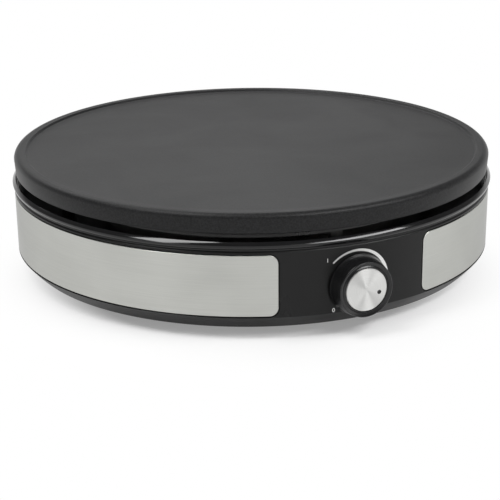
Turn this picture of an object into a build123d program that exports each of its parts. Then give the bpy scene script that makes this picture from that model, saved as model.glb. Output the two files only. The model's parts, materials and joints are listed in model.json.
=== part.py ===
from build123d import *

import os
from math import cos, degrees, radians, sin

# Electric crepe maker: a round cast cooking plate carried on a low moulded housing.
# Millimetres. The axis of the round body is Z, the feet stand on z = 0 and the control knob faces -Y.

# --- stack of heights, from the worktop up
foot_stand = 5.0  # worktop to the lower edge of the housing
band_height = 9.8  # black band under the steel panels
panel_height = 38.5
panel_strip = 2.8  # wall left above the panels
rim_height = 5.7  # parting groove to the top of the upper housing
heat_gap = 4.8  # open gap between the upper housing and the plate
plate_depth = 12.5  # bottom of the plate's skirt to the top of its lip

# --- cooking plate, a casting
plate_radius = 160.0  # widest, below the rounded edge
plate_edge_inset = 4.7
plate_edge_drop = 3.4
plate_edge_bulge = 0.2  # how far the rounded edge stands off its chord, as a share of it
plate_thickness = 5.5
lip_rise = 1.4  # lip above the cooking face
lip_width = 2.9
lip_slope = 1.2
skirt_wall = 3.4
skirt_draft = 0.7
plate_boss_radius = 5.5
plate_boss_length = 4.2
pad_depth = 6.4  # pad under the plate that the sensor bulb lies against
pad_margin = 2.0

# --- housing, two mouldings and a cover
wall_proud = 0.7  # top of the wall outside the plate's widest radius
wall_draft = 0.3
wall = 3.4
wall_edge = 1.0  # bevel at the top of the wall
band_taper = 8.4  # lower edge of the band inside the wall
band_wall = 3.0
band_bulge = 0.17  # how far the band's curve stands off its chord, as a share of it
ledge_depth = 3.0  # lower edge of the band to the ledge that the cover meets
ledge_width = 3.0
ledge_slope = 9.0
rim_proud = 1.8  # rim outside the plate's widest radius
rim_crown = 1.9  # widest line of the rim below its top
rim_land = 1.9  # widest line of the rim to its highest line
rim_top_bulge = 0.07
rim_side_bulge = 0.17
groove_height = 0.7
groove_inset = 0.9
deck_drop = 4.1
deck_slope = 1.5
deck_thickness = 2.4
deck_width = 33.3  # inside of the wall to the deck's opening
spigot_depth = 5.1
spigot_wall = 2.6

# --- steel panels, one each side
fascia_half_angle = 17.7  # from the knob's axis to the nearer edge of each panel
panel_gauge = 0.8
panel_corner = 5.4
panel_bevel = 0.35
panel_shadow = 0.8  # width of the recess round a panel
panel_glue = 0.25  # tape between a panel and its pocket

# --- base cover and feet
cover_thickness = 2.4
cover_rise = 0.6  # underside of the cover above the housing's lower edge
well_radius = 6.2
well_depth = 4.2
vent_count = 5  # in each of four groups
vent_length = 30.0
vent_width = 3.6
vent_inner = 44.0
vent_step = 8.0  # degrees
foot_radius = 9.0
foot_inset = 36.7  # edge of the cover to the middle of a foot
foot_recess = 1.0
foot_bevel = 1.0

# --- fixings
column_inset = 19.3  # inside of the wall to the middle of a column
column_radius = 5.0
column_bore_depth = 18.0
post_inset = 28.3  # inside of the wall to the middle of a post
post_across_flats = 8.0
case_screw_radius = 1.75
case_screw_length = 16.0
plate_screw_radius = 2.0
screw_head_height = 2.4
screw_head_ratio = 2.0  # head radius to shank radius
head_clearance = 0.6
plate_screw_bite = 3.4
post_count = 4

# --- heater
element_inset = 65.0  # edge of the plate to the middle of the element
element_width = 7.0
element_root = 4.8  # width of its lower face
element_height = 6.0
element_gap_angle = 30.0
element_bend = 4.0
leg_below_pan = 3.0
leg_hole_radius = 7.0
tab_width = 6.3
tab_gauge = 0.8
tab_length = 8.0
pan_gauge = 0.8
pan_drop = 4.0  # floor of the reflector below the deck
pan_clearance = 4.0  # between the reflector's slope and the deck's opening
pan_slope = 4.0
pan_overlap = 5.0  # flange past the posts' circle

# --- thermostat
shaft_radius = 3.0
shaft_flat = 1.5  # from the shaft's axis to its flat
stat_width = 34.0
stat_height = 30.0
stat_depth = 24.0
stat_seat = 13.0  # inside of the wall to the bracket
bush_radius = 5.0
bush_length = 5.2
shaft_socket = 8.0  # length of shaft held in the thermostat
bracket_gauge = 1.2
bracket_hole_out = 4.0  # side of the thermostat to a bracket screw
bracket_end = 4.0  # bracket screw to the end of the bracket
bracket_height = 22.0
bracket_boss_radius = 3.4
bracket_screw_radius = 1.5
bracket_screw_length = 8.0
bulb_radius = 3.0
bulb_length = 44.0
bulb_clearance = 13.5  # between the bulb's outer end and the element
capillary_radius = 0.9
capillary_bend = 5.0
capillary_reach = 12.0  # out of the thermostat before it turns up
capillary_hole_radius = 2.1
clip_gauge = 0.8
clip_length = 10.0
clip_ear = 7.0

# --- knob
knob_radius = 19.3
knob_flange = 1.4
knob_flare = 1.0
knob_grip_radius = 18.6
knob_grip_draft = 0.3
knob_depth = 11.6
knob_crown_width = 2.6
knob_crown_height = 2.0
knob_crown_bulge = 0.18
knob_dip = 0.3  # ring's slope down to the cap
cap_radius = 13.4
cap_thickness = 1.6
cap_proud = 0.2
cap_bevel = 0.4
pointer_radius = 1.3
pointer_offset = 8.8
pointer_angle = -17.0
spring_gauge = 0.3
spring_width = 2.6
knob_skin = 2.2  # plastic left between the shaft and the cap's seat

# --- wiring
lead_radius = 1.5
lead_bend = 10.0
lead_start = 14.0  # straight length out of the thermostat
block_width = 16.0
block_height = 7.0
block_behind = 18.4  # element's legs to the middle of the block
barrier_height = 6.0
barrier_gauge = 1.6
contact_gauge = 1.0
contact_gap = 4.0  # between a contact and the next
pole_count = 3
pole_pitch = 12.0
fuse_radius = 3.0
fuse_length = 14.0
lead_lift = 5.0  # long leads above the cover

# --- cord entry at the rear, low on the wall
gland_level = 26.0
cord_bore_radius = 3.6
gland_neck_radius = 6.0
gland_flange_radius = 8.2
gland_nose_radius = 6.4
gland_reach = 8.0
gland_inside = 8.0
nut_across_flats = 17.0
nut_thickness = 3.0
nut_seat = 1.2  # inside of the curved wall to the nut's face

# --- clearances
fit_gap = 0.3  # between mouldings, and between parts that pass each other
running_gap = 0.06  # shaft in its bush
hole_gap = 0.15  # screw in its hole, knob on its shaft
pin_gap = 0.05  # knob's pointer pin in the cap
shaft_clearance = 0.9  # round the shaft where it passes the wall
cut_over = 1.2  # a cut's length past the face that it opens

# --- levels and radii that follow
band_top = foot_stand + band_height
panel_top = band_top + panel_height
wall_top = panel_top + panel_strip
rim_top = wall_top + rim_height
skirt_bottom = rim_top + heat_gap
lip_top = skirt_bottom + plate_depth
cooking_face = lip_top - lip_rise
plate_underside = cooking_face - plate_thickness
deck_top = rim_top - deck_drop
deck_bottom = deck_top - deck_thickness
flange_top = deck_top + pan_gauge
boss_bottom = plate_underside - plate_boss_length
pad_bottom = plate_underside - pad_depth
cover_bottom = foot_stand + cover_rise
cover_top = cover_bottom + cover_thickness
well_top = cover_bottom + well_depth
column_foot = well_top + cover_thickness
wall_radius = plate_radius + wall_proud
wall_foot_radius = wall_radius - wall_draft
wall_inner = wall_radius - wall
column_circle = wall_inner - column_inset
post_circle = wall_inner - post_inset
deck_opening = wall_inner - deck_width
edge_radius = wall_foot_radius - band_taper
cover_radius = edge_radius - band_wall - fit_gap
foot_circle = cover_radius - foot_inset
rim_radius = plate_radius + rim_proud
groove_radius = wall_radius - groove_inset
spigot_outer = wall_inner - fit_gap
knob_level = (foot_stand + wall_top) / 2
element_radius = plate_radius - element_inset
bulb_outer = element_radius - element_width / 2 - bulb_clearance
bulb_level = pad_bottom - bulb_radius - fit_gap
pan_floor_radius = deck_opening - pan_clearance - pan_slope
pan_flange_radius = post_circle + pan_overlap
pan_floor_top = deck_top - pan_drop + pan_gauge
pan_floor_bottom = deck_top - pan_drop
knob_seat = wall_radius + fit_gap
cap_top = knob_depth - knob_dip + cap_proud
cap_floor = cap_top - cap_thickness
bracket_front = wall_inner - stat_seat
stat_front = bracket_front - bracket_gauge
stat_back = stat_front - stat_depth
capillary_riser = stat_back - capillary_reach
bracket_hole_pitch = stat_width + 2 * bracket_hole_out
bracket_width = bracket_hole_pitch + 2 * bracket_end
lead_level = cover_top + lead_lift
contact_top = cover_top + block_height + contact_gauge

front = Plane(origin=(0, 0, knob_level), x_dir=(1, 0, 0), z_dir=(0, -1, 0))
rear = Plane(origin=(0, 0, gland_level), x_dir=(-1, 0, 0), z_dir=(0, 1, 0))
column_angles = [45, 135, 225, 315]
post_angles = [90 + 360 / post_count * i for i in range(post_count)]


def lathe(*edges, arc=360):
    """Turns a closed outline of edges, drawn as radius and height, about Z."""
    return revolve(Plane.XZ * make_face(edges), Axis.Z, revolution_arc=arc)


def turned(*points, arc=360):
    """Turns a closed straight-sided outline about Z."""
    return lathe(*Polyline(*points, close=True).edges(), arc=arc)


def rod(radius, bottom, top):
    return Pos(0, 0, bottom) * extrude(Circle(radius), top - bottom)


def around(radius, angles):
    """Places on a circle, each turned to face outwards."""
    return [Rot(0, 0, a) * Pos(radius, 0, 0) for a in angles]


def bowed(start, end, bulge):
    """An arc that stands off its chord, to the left of the way from start to end."""
    across, up = end[0] - start[0], end[1] - start[1]
    middle = ((start[0] + end[0]) / 2 - up * bulge, (start[1] + end[1]) / 2 + across * bulge)
    return ThreePointArc(start, middle, end)


def wall_radius_at(level):
    """Outer radius of the tapered wall that carries the panels."""
    return wall_foot_radius + wall_draft * (level - band_top) / (wall_top - band_top)


def wrapped_plate(margin, inside, outside, corner):
    """A plate wrapped on the wall's right side, between two depths measured from the wall's surface."""
    low, high = band_top - margin, panel_top + margin
    half = 90 - fascia_half_angle + degrees(margin / wall_radius)
    low_r, high_r = wall_radius_at(low), wall_radius_at(high)
    blank = turned(
        (low_r + inside, low),
        (low_r + outside, low),
        (high_r + outside, high),
        (high_r + inside, high),
        arc=2 * half,
    )
    radial = outside - inside
    corners = [e for e in blank.edges().filter_by(GeomType.LINE) if abs(e.length - radial) < radial / 10]
    return Rot(0, 0, -half) * fillet(corners, corner)


def screw(radius, length):
    """A pan-head screw, its head on z = 0 and its shank upwards."""
    head = rod(radius * screw_head_ratio, -screw_head_height, 0)
    return head + rod(radius, 0, length)


def cooking_plate():
    slope_foot = plate_radius - plate_edge_inset - lip_width - lip_slope
    crown = (plate_radius - plate_edge_inset, lip_top)
    widest = (plate_radius, lip_top - plate_edge_drop)
    skirt = plate_radius - skirt_draft
    lip = Polyline(
        (0, plate_underside),
        (0, cooking_face),
        (slope_foot, cooking_face),
        (slope_foot + lip_slope, lip_top),
        crown,
    )
    edge = bowed(crown, widest, plate_edge_bulge)
    under = Polyline(
        widest,
        (skirt, skirt_bottom),
        (skirt - skirt_wall, skirt_bottom),
        (skirt - skirt_wall, plate_underside),
        (0, plate_underside),
    )
    plate = lathe(*lip.edges(), edge, *under.edges())
    for place in around(post_circle, post_angles):
        plate += place * rod(plate_boss_radius, boss_bottom, plate_underside)
    pad_width = 2 * (bulb_radius + fit_gap + clip_ear + pad_margin)
    pad = Box(pad_width, bulb_length, pad_depth)
    plate += Pos(0, bulb_length / 2 - bulb_outer, (plate_underside + pad_bottom) / 2) * pad
    tapped = plate_screw_radius + hole_gap
    for place in around(post_circle, post_angles):
        plate -= place * rod(tapped, boss_bottom, boss_bottom + plate_screw_bite + hole_gap)
    return plate


def heating_element():
    half, root, tall, bend = element_width / 2, element_root / 2, element_height, element_bend
    section = Polygon((-half, 0), (half, 0), (root, -tall), (-root, -tall), align=None)
    sweep_angle = 360 - element_gap_angle
    ring_section = Plane.XZ * Pos(element_radius, plate_underside) * section
    start = 90 + element_gap_angle / 2
    element = Rot(0, 0, start) * revolve(ring_section, Axis.Z, revolution_arc=sweep_angle)

    elbow = revolve(section, Axis((0, -tall - bend, 0), (1, 0, 0)), revolution_arc=90)
    leg_top = Plane(origin=(0, -tall - bend, 0), x_dir=(1, 0, 0), z_dir=(0, -1, 0))
    leg_length = plate_underside - tall - bend - pan_floor_bottom + leg_below_pan
    leg_section = Polygon((-root, bend), (root, bend), (half, bend + tall), (-half, bend + tall), align=None)
    leg = leg_top * extrude(leg_section, leg_length)
    tab_place = leg_top * Pos(0, bend + tall / 2, leg_length + tab_length / 2)
    tab = tab_place * Box(tab_width, tab_gauge, tab_length)
    for end, way in ((start, 1), (90 - element_gap_angle / 2, -1)):
        radial = (way * cos(radians(end)), way * sin(radians(end)), 0)
        ahead = (way * sin(radians(end)), -way * cos(radians(end)), 0)
        tip = (element_radius * cos(radians(end)), element_radius * sin(radians(end)), plate_underside)
        element += Plane(origin=tip, x_dir=radial, z_dir=ahead) * (elbow + leg + tab)
    return element


def leg_place(way):
    """Where a leg of the element comes down, way being 1 on the left and -1 on the right."""
    end = radians(90 + way * element_gap_angle / 2)
    ahead = element_bend + element_height / 2
    x = element_radius * cos(end) + way * ahead * sin(end)
    y = element_radius * sin(end) - way * ahead * cos(end)
    return x, y


def heat_reflector():
    rise = pan_floor_radius + pan_slope
    pan = turned(
        (0, pan_floor_bottom),
        (pan_floor_radius, pan_floor_bottom),
        (rise, deck_top),
        (pan_flange_radius, deck_top),
        (pan_flange_radius, flange_top),
        (rise - pan_gauge, flange_top),
        (pan_floor_radius - pan_gauge, pan_floor_top),
        (0, pan_floor_top),
    )
    for place in around(post_circle, post_angles):
        pan -= place * rod(plate_screw_radius + hole_gap, deck_top, flange_top)
    for way in (1, -1):
        pan -= Pos(*leg_place(way)) * rod(leg_hole_radius, pan_floor_bottom, pan_floor_top)
    pan -= Pos(0, -capillary_riser) * rod(capillary_hole_radius, pan_floor_bottom, pan_floor_top)
    return pan


def plate_posts():
    sleeve = extrude(RegularPolygon(post_across_flats / 2, 6, major_radius=False), boss_bottom - flange_top)
    sleeve = Pos(0, 0, flange_top) * sleeve - rod(plate_screw_radius + hole_gap, flange_top, boss_bottom)
    return Compound([place * sleeve for place in around(post_circle, post_angles)])


def plate_screws():
    length = boss_bottom + plate_screw_bite - deck_bottom
    one = Pos(0, 0, deck_bottom) * screw(plate_screw_radius, length)
    return Compound([place * one for place in around(post_circle, post_angles)])


def upper_housing():
    groove_top = wall_top + groove_height
    widest = (rim_radius, rim_top - rim_crown)
    highest = (rim_radius - rim_land, rim_top)
    crown = bowed(highest, widest, rim_top_bulge)
    side = bowed(widest, (groove_radius, groove_top), rim_side_bulge)
    rest = Polyline(
        highest,
        (highest[0] - deck_slope, deck_top),
        (deck_opening, deck_top),
        (deck_opening, deck_bottom),
        (spigot_outer - spigot_wall, deck_bottom),
        (spigot_outer - spigot_wall, wall_top - spigot_depth),
        (spigot_outer, wall_top - spigot_depth),
        (spigot_outer, wall_top),
        (groove_radius, wall_top),
        (groove_radius, groove_top),
    )
    housing = lathe(crown, side, *rest.edges())
    for place in around(column_circle, column_angles):
        housing += place * rod(column_radius, column_foot, deck_bottom)
    for place in around(column_circle, column_angles):
        housing -= place * rod(case_screw_radius + hole_gap, column_foot, column_foot + column_bore_depth)
    for place in around(post_circle, post_angles):
        housing -= place * rod(plate_screw_radius + hole_gap, deck_bottom, deck_top)
    return housing


def body_shell():
    band = bowed((wall_foot_radius, band_top), (edge_radius, foot_stand), band_bulge)
    ledge = foot_stand + ledge_depth
    lip = edge_radius - band_wall
    rest = Polyline(
        (wall_foot_radius, band_top),
        (wall_radius, wall_top - wall_edge),
        (wall_radius - wall_edge, wall_top),
        (wall_inner, wall_top),
        (wall_inner, ledge + ledge_slope),
        (lip - ledge_width, ledge),
        (lip, ledge),
        (lip, foot_stand),
        (edge_radius, foot_stand),
    )
    shell = lathe(band, *rest.edges())
    pocket_floor = -panel_gauge - panel_glue
    pocket = wrapped_plate(panel_shadow, pocket_floor, cut_over, panel_corner + panel_shadow)
    shell -= pocket
    shell -= Rot(0, 0, 180) * pocket
    for side in (-1, 1):
        place = front * Pos(side * bracket_hole_pitch / 2, 0)
        shell += place * rod(bracket_boss_radius, bracket_front, wall_inner)
        pilot_end = bracket_front + bracket_screw_length
        shell -= place * rod(bracket_screw_radius + hole_gap, bracket_front, pilot_end)
    shell -= front * rod(shaft_radius + shaft_clearance, wall_inner - cut_over, wall_radius + cut_over)
    shell -= rear * rod(gland_neck_radius + hole_gap, wall_inner - cut_over, wall_radius + cut_over)
    return shell


def right_panel():
    panel = wrapped_plate(0, -panel_gauge, 0, panel_corner)
    outer = panel.faces().filter_by(GeomType.CONE).sort_by(lambda f: f.area)[-1]
    return chamfer(outer.edges(), panel_bevel)


def left_panel():
    return Rot(0, 0, 180) * right_panel()


def base_cover():
    cover = rod(cover_radius, cover_bottom, cover_top)
    for place in around(column_circle, column_angles):
        cover += place * rod(well_radius, cover_top, column_foot)
        cover -= place * rod(case_screw_radius * screw_head_ratio + head_clearance, cover_bottom, well_top)
        cover -= place * rod(case_screw_radius + hole_gap, well_top, column_foot)
    for place in around(foot_circle, column_angles):
        cover -= place * rod(foot_radius + hole_gap, cover_bottom, cover_bottom + foot_recess)
    for group in range(4):
        for i in range(vent_count):
            turn = 90 * group + vent_step * (i - (vent_count - 1) / 2)
            slot = Box(vent_length, vent_width, cover_thickness)
            middle = Pos(vent_inner + vent_length / 2, 0, (cover_bottom + cover_top) / 2)
            cover -= Rot(0, 0, turn) * middle * slot
    return cover


def rubber_feet():
    top = cover_bottom + foot_recess
    foot = turned(
        (0, 0),
        (foot_radius - foot_bevel, 0),
        (foot_radius, foot_bevel),
        (foot_radius, top),
        (0, top),
    )
    return Compound([place * foot for place in around(foot_circle, column_angles)])


def base_screws():
    one = Pos(0, 0, well_top) * screw(case_screw_radius, case_screw_length)
    return Compound([place * one for place in around(column_circle, column_angles)])


def thermostat_body():
    body = Pos(0, 0, (stat_front + stat_back) / 2) * Box(stat_width, stat_height, stat_depth)
    body += rod(bush_radius, stat_front, stat_front + bush_length)
    body -= rod(shaft_radius + running_gap, stat_front - shaft_socket, stat_front + bush_length)
    for side in (-1, 1):
        blade = Pos(side * stat_width / 4, 0, stat_back - tab_length / 2)
        body += blade * Box(tab_width, tab_gauge, tab_length)
    return front * body


def thermostat_bracket():
    plate = Pos(0, 0, (stat_front + bracket_front) / 2) * Box(bracket_width, bracket_height, bracket_gauge)
    plate -= rod(bush_radius + hole_gap, stat_front, bracket_front)
    for side in (-1, 1):
        plate -= Pos(side * bracket_hole_pitch / 2, 0) * rod(
            bracket_screw_radius + hole_gap, stat_front, bracket_front
        )
    return front * plate


def bracket_screws():
    one = Pos(0, 0, stat_front) * screw(bracket_screw_radius, bracket_screw_length)
    return Compound([front * Pos(side * bracket_hole_pitch / 2, 0) * one for side in (-1, 1)])


def thermostat_shaft():
    tip = knob_seat + cap_floor - knob_skin
    shaft = rod(shaft_radius, stat_front - shaft_socket + fit_gap, tip)
    flat_width = shaft_radius - shaft_flat
    flat = Pos(shaft_flat + flat_width / 2, 0, (knob_seat + tip) / 2) * Box(
        flat_width, 2 * shaft_radius, tip - knob_seat
    )
    return front * (shaft - flat)


def sensor_bulb():
    outer_end = Plane(origin=(0, -bulb_outer, bulb_level), z_dir=(0, 1, 0))
    return outer_end * extrude(Circle(bulb_radius), bulb_length)


def tube(points, radius, bend):
    """A round tube along straight runs joined by tangent arcs."""
    path = FilletPolyline(*points, radius=bend)
    return sweep(Plane(origin=path @ 0, z_dir=path % 0) * Circle(radius), path=path)


def capillary_tube():
    exit_level = knob_level + stat_height / 4
    points = [
        (0, -stat_back + fit_gap, exit_level),
        (0, -capillary_riser, exit_level),
        (0, -capillary_riser, bulb_level),
        (0, -bulb_outer - fit_gap, bulb_level),
    ]
    return tube(points, capillary_radius, capillary_bend)


def bulb_clip():
    """A strap bent round the bulb, with an ear each side against the pad."""
    saddle = bulb_radius + fit_gap
    outer = saddle + clip_gauge
    ears = Pos(0, saddle - clip_gauge / 2) * Rectangle(2 * (saddle + clip_ear), clip_gauge)
    sides = Pos(0, saddle / 2) * Rectangle(2 * outer, saddle)
    channel = Pos(0, saddle / 2) * Rectangle(2 * saddle, saddle)
    profile = (Circle(outer) - Pos(0, outer / 2) * Rectangle(2 * outer, outer)) + sides + ears
    profile = profile - Circle(saddle) - channel
    start = (bulb_length - clip_length) / 2 - bulb_outer
    outer_end = Plane(origin=(0, start, bulb_level), x_dir=(-1, 0, 0), z_dir=(0, 1, 0))
    return outer_end * extrude(profile, clip_length)


def pole_x(i):
    """Middle of a contact; the last one stands under the element's left leg."""
    return leg_place(1)[0] - (pole_count - 1 - i) * pole_pitch


block_y = leg_place(1)[1] + block_behind


def terminal_block():
    middle = (pole_x(0) + pole_x(pole_count - 1)) / 2
    length = pole_count * pole_pitch + contact_gap
    block = Pos(middle, block_y, cover_top + block_height / 2) * Box(length, block_width, block_height)
    for i in range(pole_count + 1):
        x = pole_x(0) + (i - 0.5) * pole_pitch
        level = cover_top + block_height + barrier_height / 2
        block += Pos(x, block_y, level) * Box(barrier_gauge, block_width, barrier_height)
    return block


def terminal_contacts():
    bar = Box(pole_pitch - contact_gap, block_width, contact_gauge)
    level = contact_top - contact_gauge / 2
    return Compound([Pos(pole_x(i), block_y, level) * bar for i in range(pole_count)])


pole_level = contact_top + lead_radius + fit_gap
blade_end = -(stat_back - tab_length) + fit_gap
blade_x = stat_width / 4
leg_foot = pan_floor_bottom - leg_below_pan - tab_length - fit_gap


def live_lead():
    """From the block to the thermostat."""
    points = [
        (-blade_x, blade_end, knob_level),
        (-blade_x, blade_end + lead_start, knob_level),
        (pole_x(1), 0, pole_level),
        (pole_x(1), block_y, pole_level),
    ]
    return tube(points, lead_radius, lead_bend)


def heater_lead():
    """From the thermostat to the element's right leg."""
    x, y = leg_place(-1)
    points = [
        (blade_x, blade_end, knob_level),
        (blade_x, blade_end + lead_start, knob_level),
        (x, 0, lead_level),
        (x, y, lead_level),
        (x, y, leg_foot),
    ]
    return tube(points, lead_radius, lead_bend)


def neutral_lead():
    """From the block to the element's left leg, through the fuse."""
    x, y = leg_place(1)
    points = [(x, block_y, pole_level), (x, y, pole_level), (x, y, leg_foot)]
    return tube(points, lead_radius, lead_bend)


def earth_lead():
    """From the block to the underside of the reflector."""
    x, y = pole_x(0), leg_place(1)[1]
    points = [(x, block_y, pole_level), (x, y, pole_level), (x, y, pan_floor_bottom - fit_gap)]
    return tube(points, lead_radius, lead_bend)


def thermal_fuse():
    """A sleeved fuse round the upright run of the neutral lead."""
    sleeve = Circle(fuse_radius) - Circle(lead_radius + hole_gap)
    return Pos(*leg_place(1), leg_foot - fit_gap - fuse_length) * extrude(sleeve, fuse_length)


def knob_body():
    side_top = (knob_grip_radius - knob_grip_draft, knob_depth - knob_crown_height)
    crest = (side_top[0] - knob_crown_width, knob_depth)
    crown = bowed(crest, side_top, knob_crown_bulge)
    rest = Polyline(
        side_top,
        (knob_grip_radius, knob_flange + knob_flare),
        (knob_radius, knob_flange),
        (knob_radius, 0),
        (0, 0),
        (0, cap_floor),
        (cap_radius + hole_gap, cap_floor),
        (cap_radius + hole_gap, knob_depth - knob_dip),
        crest,
    )
    knob = lathe(crown, *rest.edges())
    depth = cap_floor - knob_skin + hole_gap
    bore = Circle(shaft_radius + hole_gap)
    room = shaft_flat + spring_gauge + hole_gap
    bore -= Pos(room + shaft_radius, 0) * Rectangle(2 * shaft_radius, 3 * shaft_radius)
    knob -= extrude(bore, depth)
    pin = rod(pointer_radius, cap_floor - cap_proud, cap_top)
    knob += pointer_place * pin
    return front * Pos(0, 0, knob_seat) * knob


pointer_place = Rot(0, 0, pointer_angle) * Pos(pointer_offset, 0, 0)


def knob_cap():
    cap = turned(
        (0, cap_floor),
        (cap_radius, cap_floor),
        (cap_radius, cap_top - cap_bevel),
        (cap_radius - cap_bevel, cap_top),
        (0, cap_top),
    )
    cap -= pointer_place * rod(pointer_radius + pin_gap, cap_floor, cap_top)
    return front * Pos(0, 0, knob_seat) * cap


def knob_spring():
    length = cap_floor - knob_skin - 2 * fit_gap
    leaf = Pos(shaft_flat + hole_gap / 2 + spring_gauge / 2, 0, fit_gap + length / 2) * Box(
        spring_gauge, spring_width, length
    )
    return front * Pos(0, 0, knob_seat) * leaf


def cord_gland():
    seat = wall_radius + fit_gap
    inner = wall_inner - gland_inside
    gland = turned(
        (cord_bore_radius, inner),
        (gland_neck_radius, inner),
        (gland_neck_radius, seat),
        (gland_flange_radius, seat),
        (gland_nose_radius, wall_radius + gland_reach),
        (cord_bore_radius, wall_radius + gland_reach),
    )
    return rear * gland


def gland_nut():
    top = wall_inner - nut_seat
    nut = Pos(0, 0, top - nut_thickness) * extrude(
        RegularPolygon(nut_across_flats / 2, 6, major_radius=False), nut_thickness
    )
    return rear * (nut - rod(gland_neck_radius + hole_gap, top - nut_thickness, top))


nodes = {
    "cooking_plate": cooking_plate,
    "heating_element": heating_element,
    "heat_reflector": heat_reflector,
    "plate_posts": plate_posts,
    "plate_screws": plate_screws,
    "upper_housing": upper_housing,
    "body_shell": body_shell,
    "left_panel": left_panel,
    "right_panel": right_panel,
    "base_cover": base_cover,
    "rubber_feet": rubber_feet,
    "base_screws": base_screws,
    "thermostat_body": thermostat_body,
    "thermostat_bracket": thermostat_bracket,
    "bracket_screws": bracket_screws,
    "thermostat_shaft": thermostat_shaft,
    "sensor_bulb": sensor_bulb,
    "capillary_tube": capillary_tube,
    "bulb_clip": bulb_clip,
    "terminal_block": terminal_block,
    "terminal_contacts": terminal_contacts,
    "live_lead": live_lead,
    "heater_lead": heater_lead,
    "neutral_lead": neutral_lead,
    "earth_lead": earth_lead,
    "thermal_fuse": thermal_fuse,
    "cord_gland": cord_gland,
    "gland_nut": gland_nut,
    "knob_body": knob_body,
    "knob_cap": knob_cap,
    "knob_spring": knob_spring,
}

os.makedirs("parts", exist_ok=True)
for name, make in nodes.items():
    export_step(make(), f"parts/{name}.step")
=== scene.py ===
"""Looks of the electric crepe maker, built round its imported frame. Metres; +Z up; the knob faces -Y."""

import json
import math

import bmesh
import bpy
from bpy.props import FloatProperty, FloatVectorProperty, IntProperty, PointerProperty
from bpy.types import Operator, Panel, PropertyGroup
from mathutils import Matrix, Vector

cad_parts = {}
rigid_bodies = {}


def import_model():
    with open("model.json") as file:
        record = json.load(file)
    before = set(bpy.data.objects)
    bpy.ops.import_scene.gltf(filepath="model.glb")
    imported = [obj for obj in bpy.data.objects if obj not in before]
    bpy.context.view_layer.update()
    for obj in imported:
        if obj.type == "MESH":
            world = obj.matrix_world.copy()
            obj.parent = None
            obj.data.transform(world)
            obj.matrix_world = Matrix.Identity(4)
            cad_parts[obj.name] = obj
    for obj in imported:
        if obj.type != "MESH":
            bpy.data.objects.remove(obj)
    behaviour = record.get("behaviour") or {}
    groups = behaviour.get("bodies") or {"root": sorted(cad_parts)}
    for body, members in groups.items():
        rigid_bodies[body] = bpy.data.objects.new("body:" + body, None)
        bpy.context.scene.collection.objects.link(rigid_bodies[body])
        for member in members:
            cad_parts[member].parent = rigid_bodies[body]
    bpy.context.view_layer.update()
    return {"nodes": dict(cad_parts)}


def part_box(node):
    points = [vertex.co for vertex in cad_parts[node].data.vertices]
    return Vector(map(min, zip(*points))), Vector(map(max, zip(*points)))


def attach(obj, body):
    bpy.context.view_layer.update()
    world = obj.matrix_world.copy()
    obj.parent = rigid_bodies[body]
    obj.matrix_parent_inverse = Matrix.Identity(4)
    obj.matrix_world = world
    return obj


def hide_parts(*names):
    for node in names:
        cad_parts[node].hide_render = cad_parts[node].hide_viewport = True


bl_info = {
    "name": "Electric crepe maker",
    "version": (1, 0, 0),
    "blender": (4, 5, 0),
    "location": "3D view > Sidebar > Crepe maker",
    "description": "Builds the finishes and the fine shapes of a countertop crepe maker",
    "category": "Object",
}

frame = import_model()

PLATE_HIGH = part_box("cooking_plate")[1]
HOUSING_LOW, HOUSING_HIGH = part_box("upper_housing")
SHELL_LOW, SHELL_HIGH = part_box("body_shell")
PANEL_LOW, PANEL_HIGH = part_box("right_panel")
KNOB_LOW, KNOB_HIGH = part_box("knob_body")
CAP_LOW, CAP_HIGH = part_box("knob_cap")
FOOT_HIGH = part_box("rubber_feet")[1]
GLAND_LOW, GLAND_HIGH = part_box("cord_gland")

KNOB_LEVEL = (KNOB_LOW.z + KNOB_HIGH.z) / 2
FRONT = (-1, KNOB_LEVEL)  # the way out along Y, and the level
REAR = (1, (GLAND_LOW.z + GLAND_HIGH.z) / 2)
KNOB_SEAT = -KNOB_HIGH.y  # how far in front of the axis the knob's back lies
TINY = 1e-6
FULL_TURN = 2 * math.pi
QUARTER_TURN = math.pi / 2
EIGHTH_TURN = math.pi / 4
WHITE = (1.0, 1.0, 1.0, 1.0)

# divisions of the shapes that the steps around don't set
FACE_STEPS = 24
CAP_STEPS = 30
RIM_STEPS = 10
CROWN_STEPS = 14
BAND_STEPS = 48
FASCIA_STEPS = 36
PATCH_STEPS = 10
WEDGE_STEPS = 90


# --- sizes and colours that a user may change


def distance(name, description, default):
    return FloatProperty(
        name=name, description=description, default=default, min=0.0, precision=5, subtype="DISTANCE", unit="LENGTH"
    )


def share(name, description, default):
    return FloatProperty(name=name, description=description, default=default, min=0.0, max=2.0, subtype="FACTOR")


def angle(name, description, default):
    return FloatProperty(
        name=name, description=description, default=math.radians(default), subtype="ANGLE", unit="ROTATION"
    )


def colour(name, description, default):
    return FloatVectorProperty(
        name=name, description=description, default=default, size=3, min=0.0, max=1.0, subtype="COLOR"
    )


def steps(name, description, default):
    return IntProperty(name=name, description=description, default=default, min=3, max=720)


def point(name, description, default, unit="LENGTH"):
    return FloatVectorProperty(name=name, description=description, default=default, size=3, unit=unit)


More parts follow.
